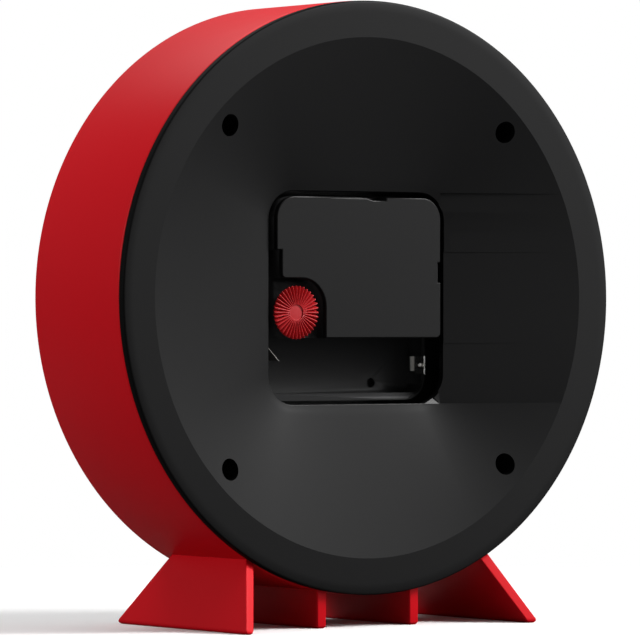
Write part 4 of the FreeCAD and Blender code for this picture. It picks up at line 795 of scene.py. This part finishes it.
def cover_mesh(dish_steps=24, lip_steps=4):
    """The cover's closed skin: stations from the rim over the ring, down the dish, and back under."""
    points = []
    rays = dish_rays()
    for ring, mouth, outward in rays:
        widened = FAR_SIDE_WIDER * min(1.0, max(0.0, -mouth.x / FAR_SIDE_START))
        mouth = mouth - Vector((widened, 0.0))
        lip = mouth + outward * LIP_ROUND
        crease = ring * RING_INNER
        station = [(ring * RIM_SEAT, DRUM_REAR), (ring * (COVER_RADIUS - RIM_BREAK), DRUM_REAR),
                   (ring * COVER_RADIUS, DRUM_REAR + RIM_BREAK)]
        for r, y in arc((COVER_RADIUS - RIM_ROUND, COVER_FACE - RIM_ROUND), RIM_ROUND, 0, 90, 4):
            station.append((ring * r, y))
        for r in RING_LOOPS:
            station.append((ring * r, COVER_FACE))
        for k in range(1, dish_steps):
            t = k / dish_steps
            station.append((crease.lerp(mouth, t), COVER_FACE - DISH_DEPTH * t))
        for k in range(lip_steps + 1):
            a = math.radians(LIP_BEND * k / lip_steps)
            y = DISH_FLOOR - LIP_ROUND * (1 - math.cos(a))
            station.append((lip - outward * LIP_ROUND * math.sin(a), y))
        station.append((mouth, DISH_FLOOR - COVER_WALL))
        station.append((mouth + outward * COVER_WALL, DISH_FLOOR - COVER_WALL))
        station.append((ring * UNDERSIDE[0], UNDERSIDE[1]))
        points += [(p.x, y, AXIS + p.y) for p, y in station]
    return points, skin_faces(len(rays), len(station), looped=True)


def on_crease(spot):
    """On the circle where the dish leaves the flat ring."""
    away = math.hypot(spot.x, spot.z - AXIS) - RING_INNER
    return abs(away) < NEAR_CREASE and abs(spot.y - COVER_FACE) < NEAR_FACE


def band_tool(name, low, high, sink, steps=20):
    """The space of one band of the plain panel: three-sided, following the crease circle."""
    within = OPENING_HALF - OVERCUT
    points = []
    for k in range(steps + 1):
        z = low + (high - low) * k / steps
        crease = math.sqrt(RING_INNER ** 2 - z ** 2)
        rise = (DISH_DEPTH + sink) / (crease - OPENING_HALF) * OVERCUT
        points += [(-within, DISH_FLOOR - sink - rise, AXIS + z), (-within, COVER_FACE + rise, AXIS + z),
                   (-crease - OVERCUT, COVER_FACE + rise, AXIS + z)]
    return cutter(name, points, skin_faces(steps + 1, 3))


def mouth_tool(name, x, z, segments=64):
    """The round mouth of one screw well."""
    turn = [2 * math.pi * k / segments for k in range(segments)]
    circle = [(x + WELL_RADIUS * math.cos(a), z + WELL_RADIUS * math.sin(a)) for a in turn]
    return cutter(name, *prism(circle, *MOUTH_CUT))


cover = new_piece("back_cover_skin", *cover_mesh())
screw_spots = [(sx * SCREW_PLACE, AXIS + sz * SCREW_PLACE) for sx in (1, -1) for sz in (1, -1)]
tools = [band_tool(*band) for band in BANDS]
tools += [mouth_tool("mouth_%d" % k, x, z) for k, (x, z) in enumerate(screw_spots)]
ramp_face = [(x, y, AXIS + z) for x, y, z in RAMP]
ramp_rear = [(x, RAMP_CUT_REAR, z) for x, y, z in ramp_face]
tools.append(cutter("ramp_cut", ramp_face + ramp_rear, prism_faces(len(RAMP))))
cut(cover, tools, 12.0)
sharpen(cover, lambda a, b: on_crease(a) and on_crease(b))
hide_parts("back_cover")
black_cover = plastic("black_cover", BLACK, 0.38, specular=0.14,
                      grain_scale=1800.0, grain_depth=0.000006, drift=0.08)
finish_with(cover, black_cover)

# A three-cornered ramp fills the notch in the opening's lower corner.
ramp_skin = [(x, y + RAMP_PROUD, z) for x, y, z in ramp_face]
ramp_under = [(x, y - RAMP_THICK, z) for x, y, z in ramp_face]
corner_ramp = new_piece("corner_ramp", ramp_skin + ramp_under, prism_faces(len(RAMP)))
finish_with(corner_ramp, plastic("ramp_black", BLACK, 0.36, specular=0.20))

well_profile = [
    (WELL_HOLE, WELL_SEAT[0]), (WELL_OUTSIDE, WELL_SEAT[0]), (WELL_OUTSIDE, WELL_REAR),
    (WELL_RADIUS, WELL_REAR), (WELL_RADIUS, WELL_SEAT[1]), (WELL_HOLE, WELL_SEAT[1])]
for k, spot in enumerate(screw_spots):
    well = lathe("screw_well_%d" % k, well_profile, centre=spot, segments=48)
    finish_with(well, black_cover)

# A thin sheet just outside the rim's outer wall, near-black and dull: painted shade on that wall.
rim_round = (COVER_RADIUS - RIM_ROUND, COVER_FACE - RIM_ROUND)
rim = lathe("rim_shade_sheet", [(rim_round[0], DRUM_REAR), (COVER_RADIUS + RIM_SKIN, DRUM_REAR),
                          *arc(rim_round, RIM_ROUND + RIM_SKIN, 0, 50, 5), rim_round])
finish_with(rim, plastic("rim_painted_shade", (0.0020, 0.0020, 0.0021), 0.6, specular=0.06))

# Cover screws: four zinc-plated steel screws with a cross recess. They stand at the bottom of the
# cover's wells, where little light reaches them, and draw the cover to the case's posts.
dress("cover_screws", metal("screw_zinc", (0.16, 0.16, 0.165), 0.35), edge=0.00005)
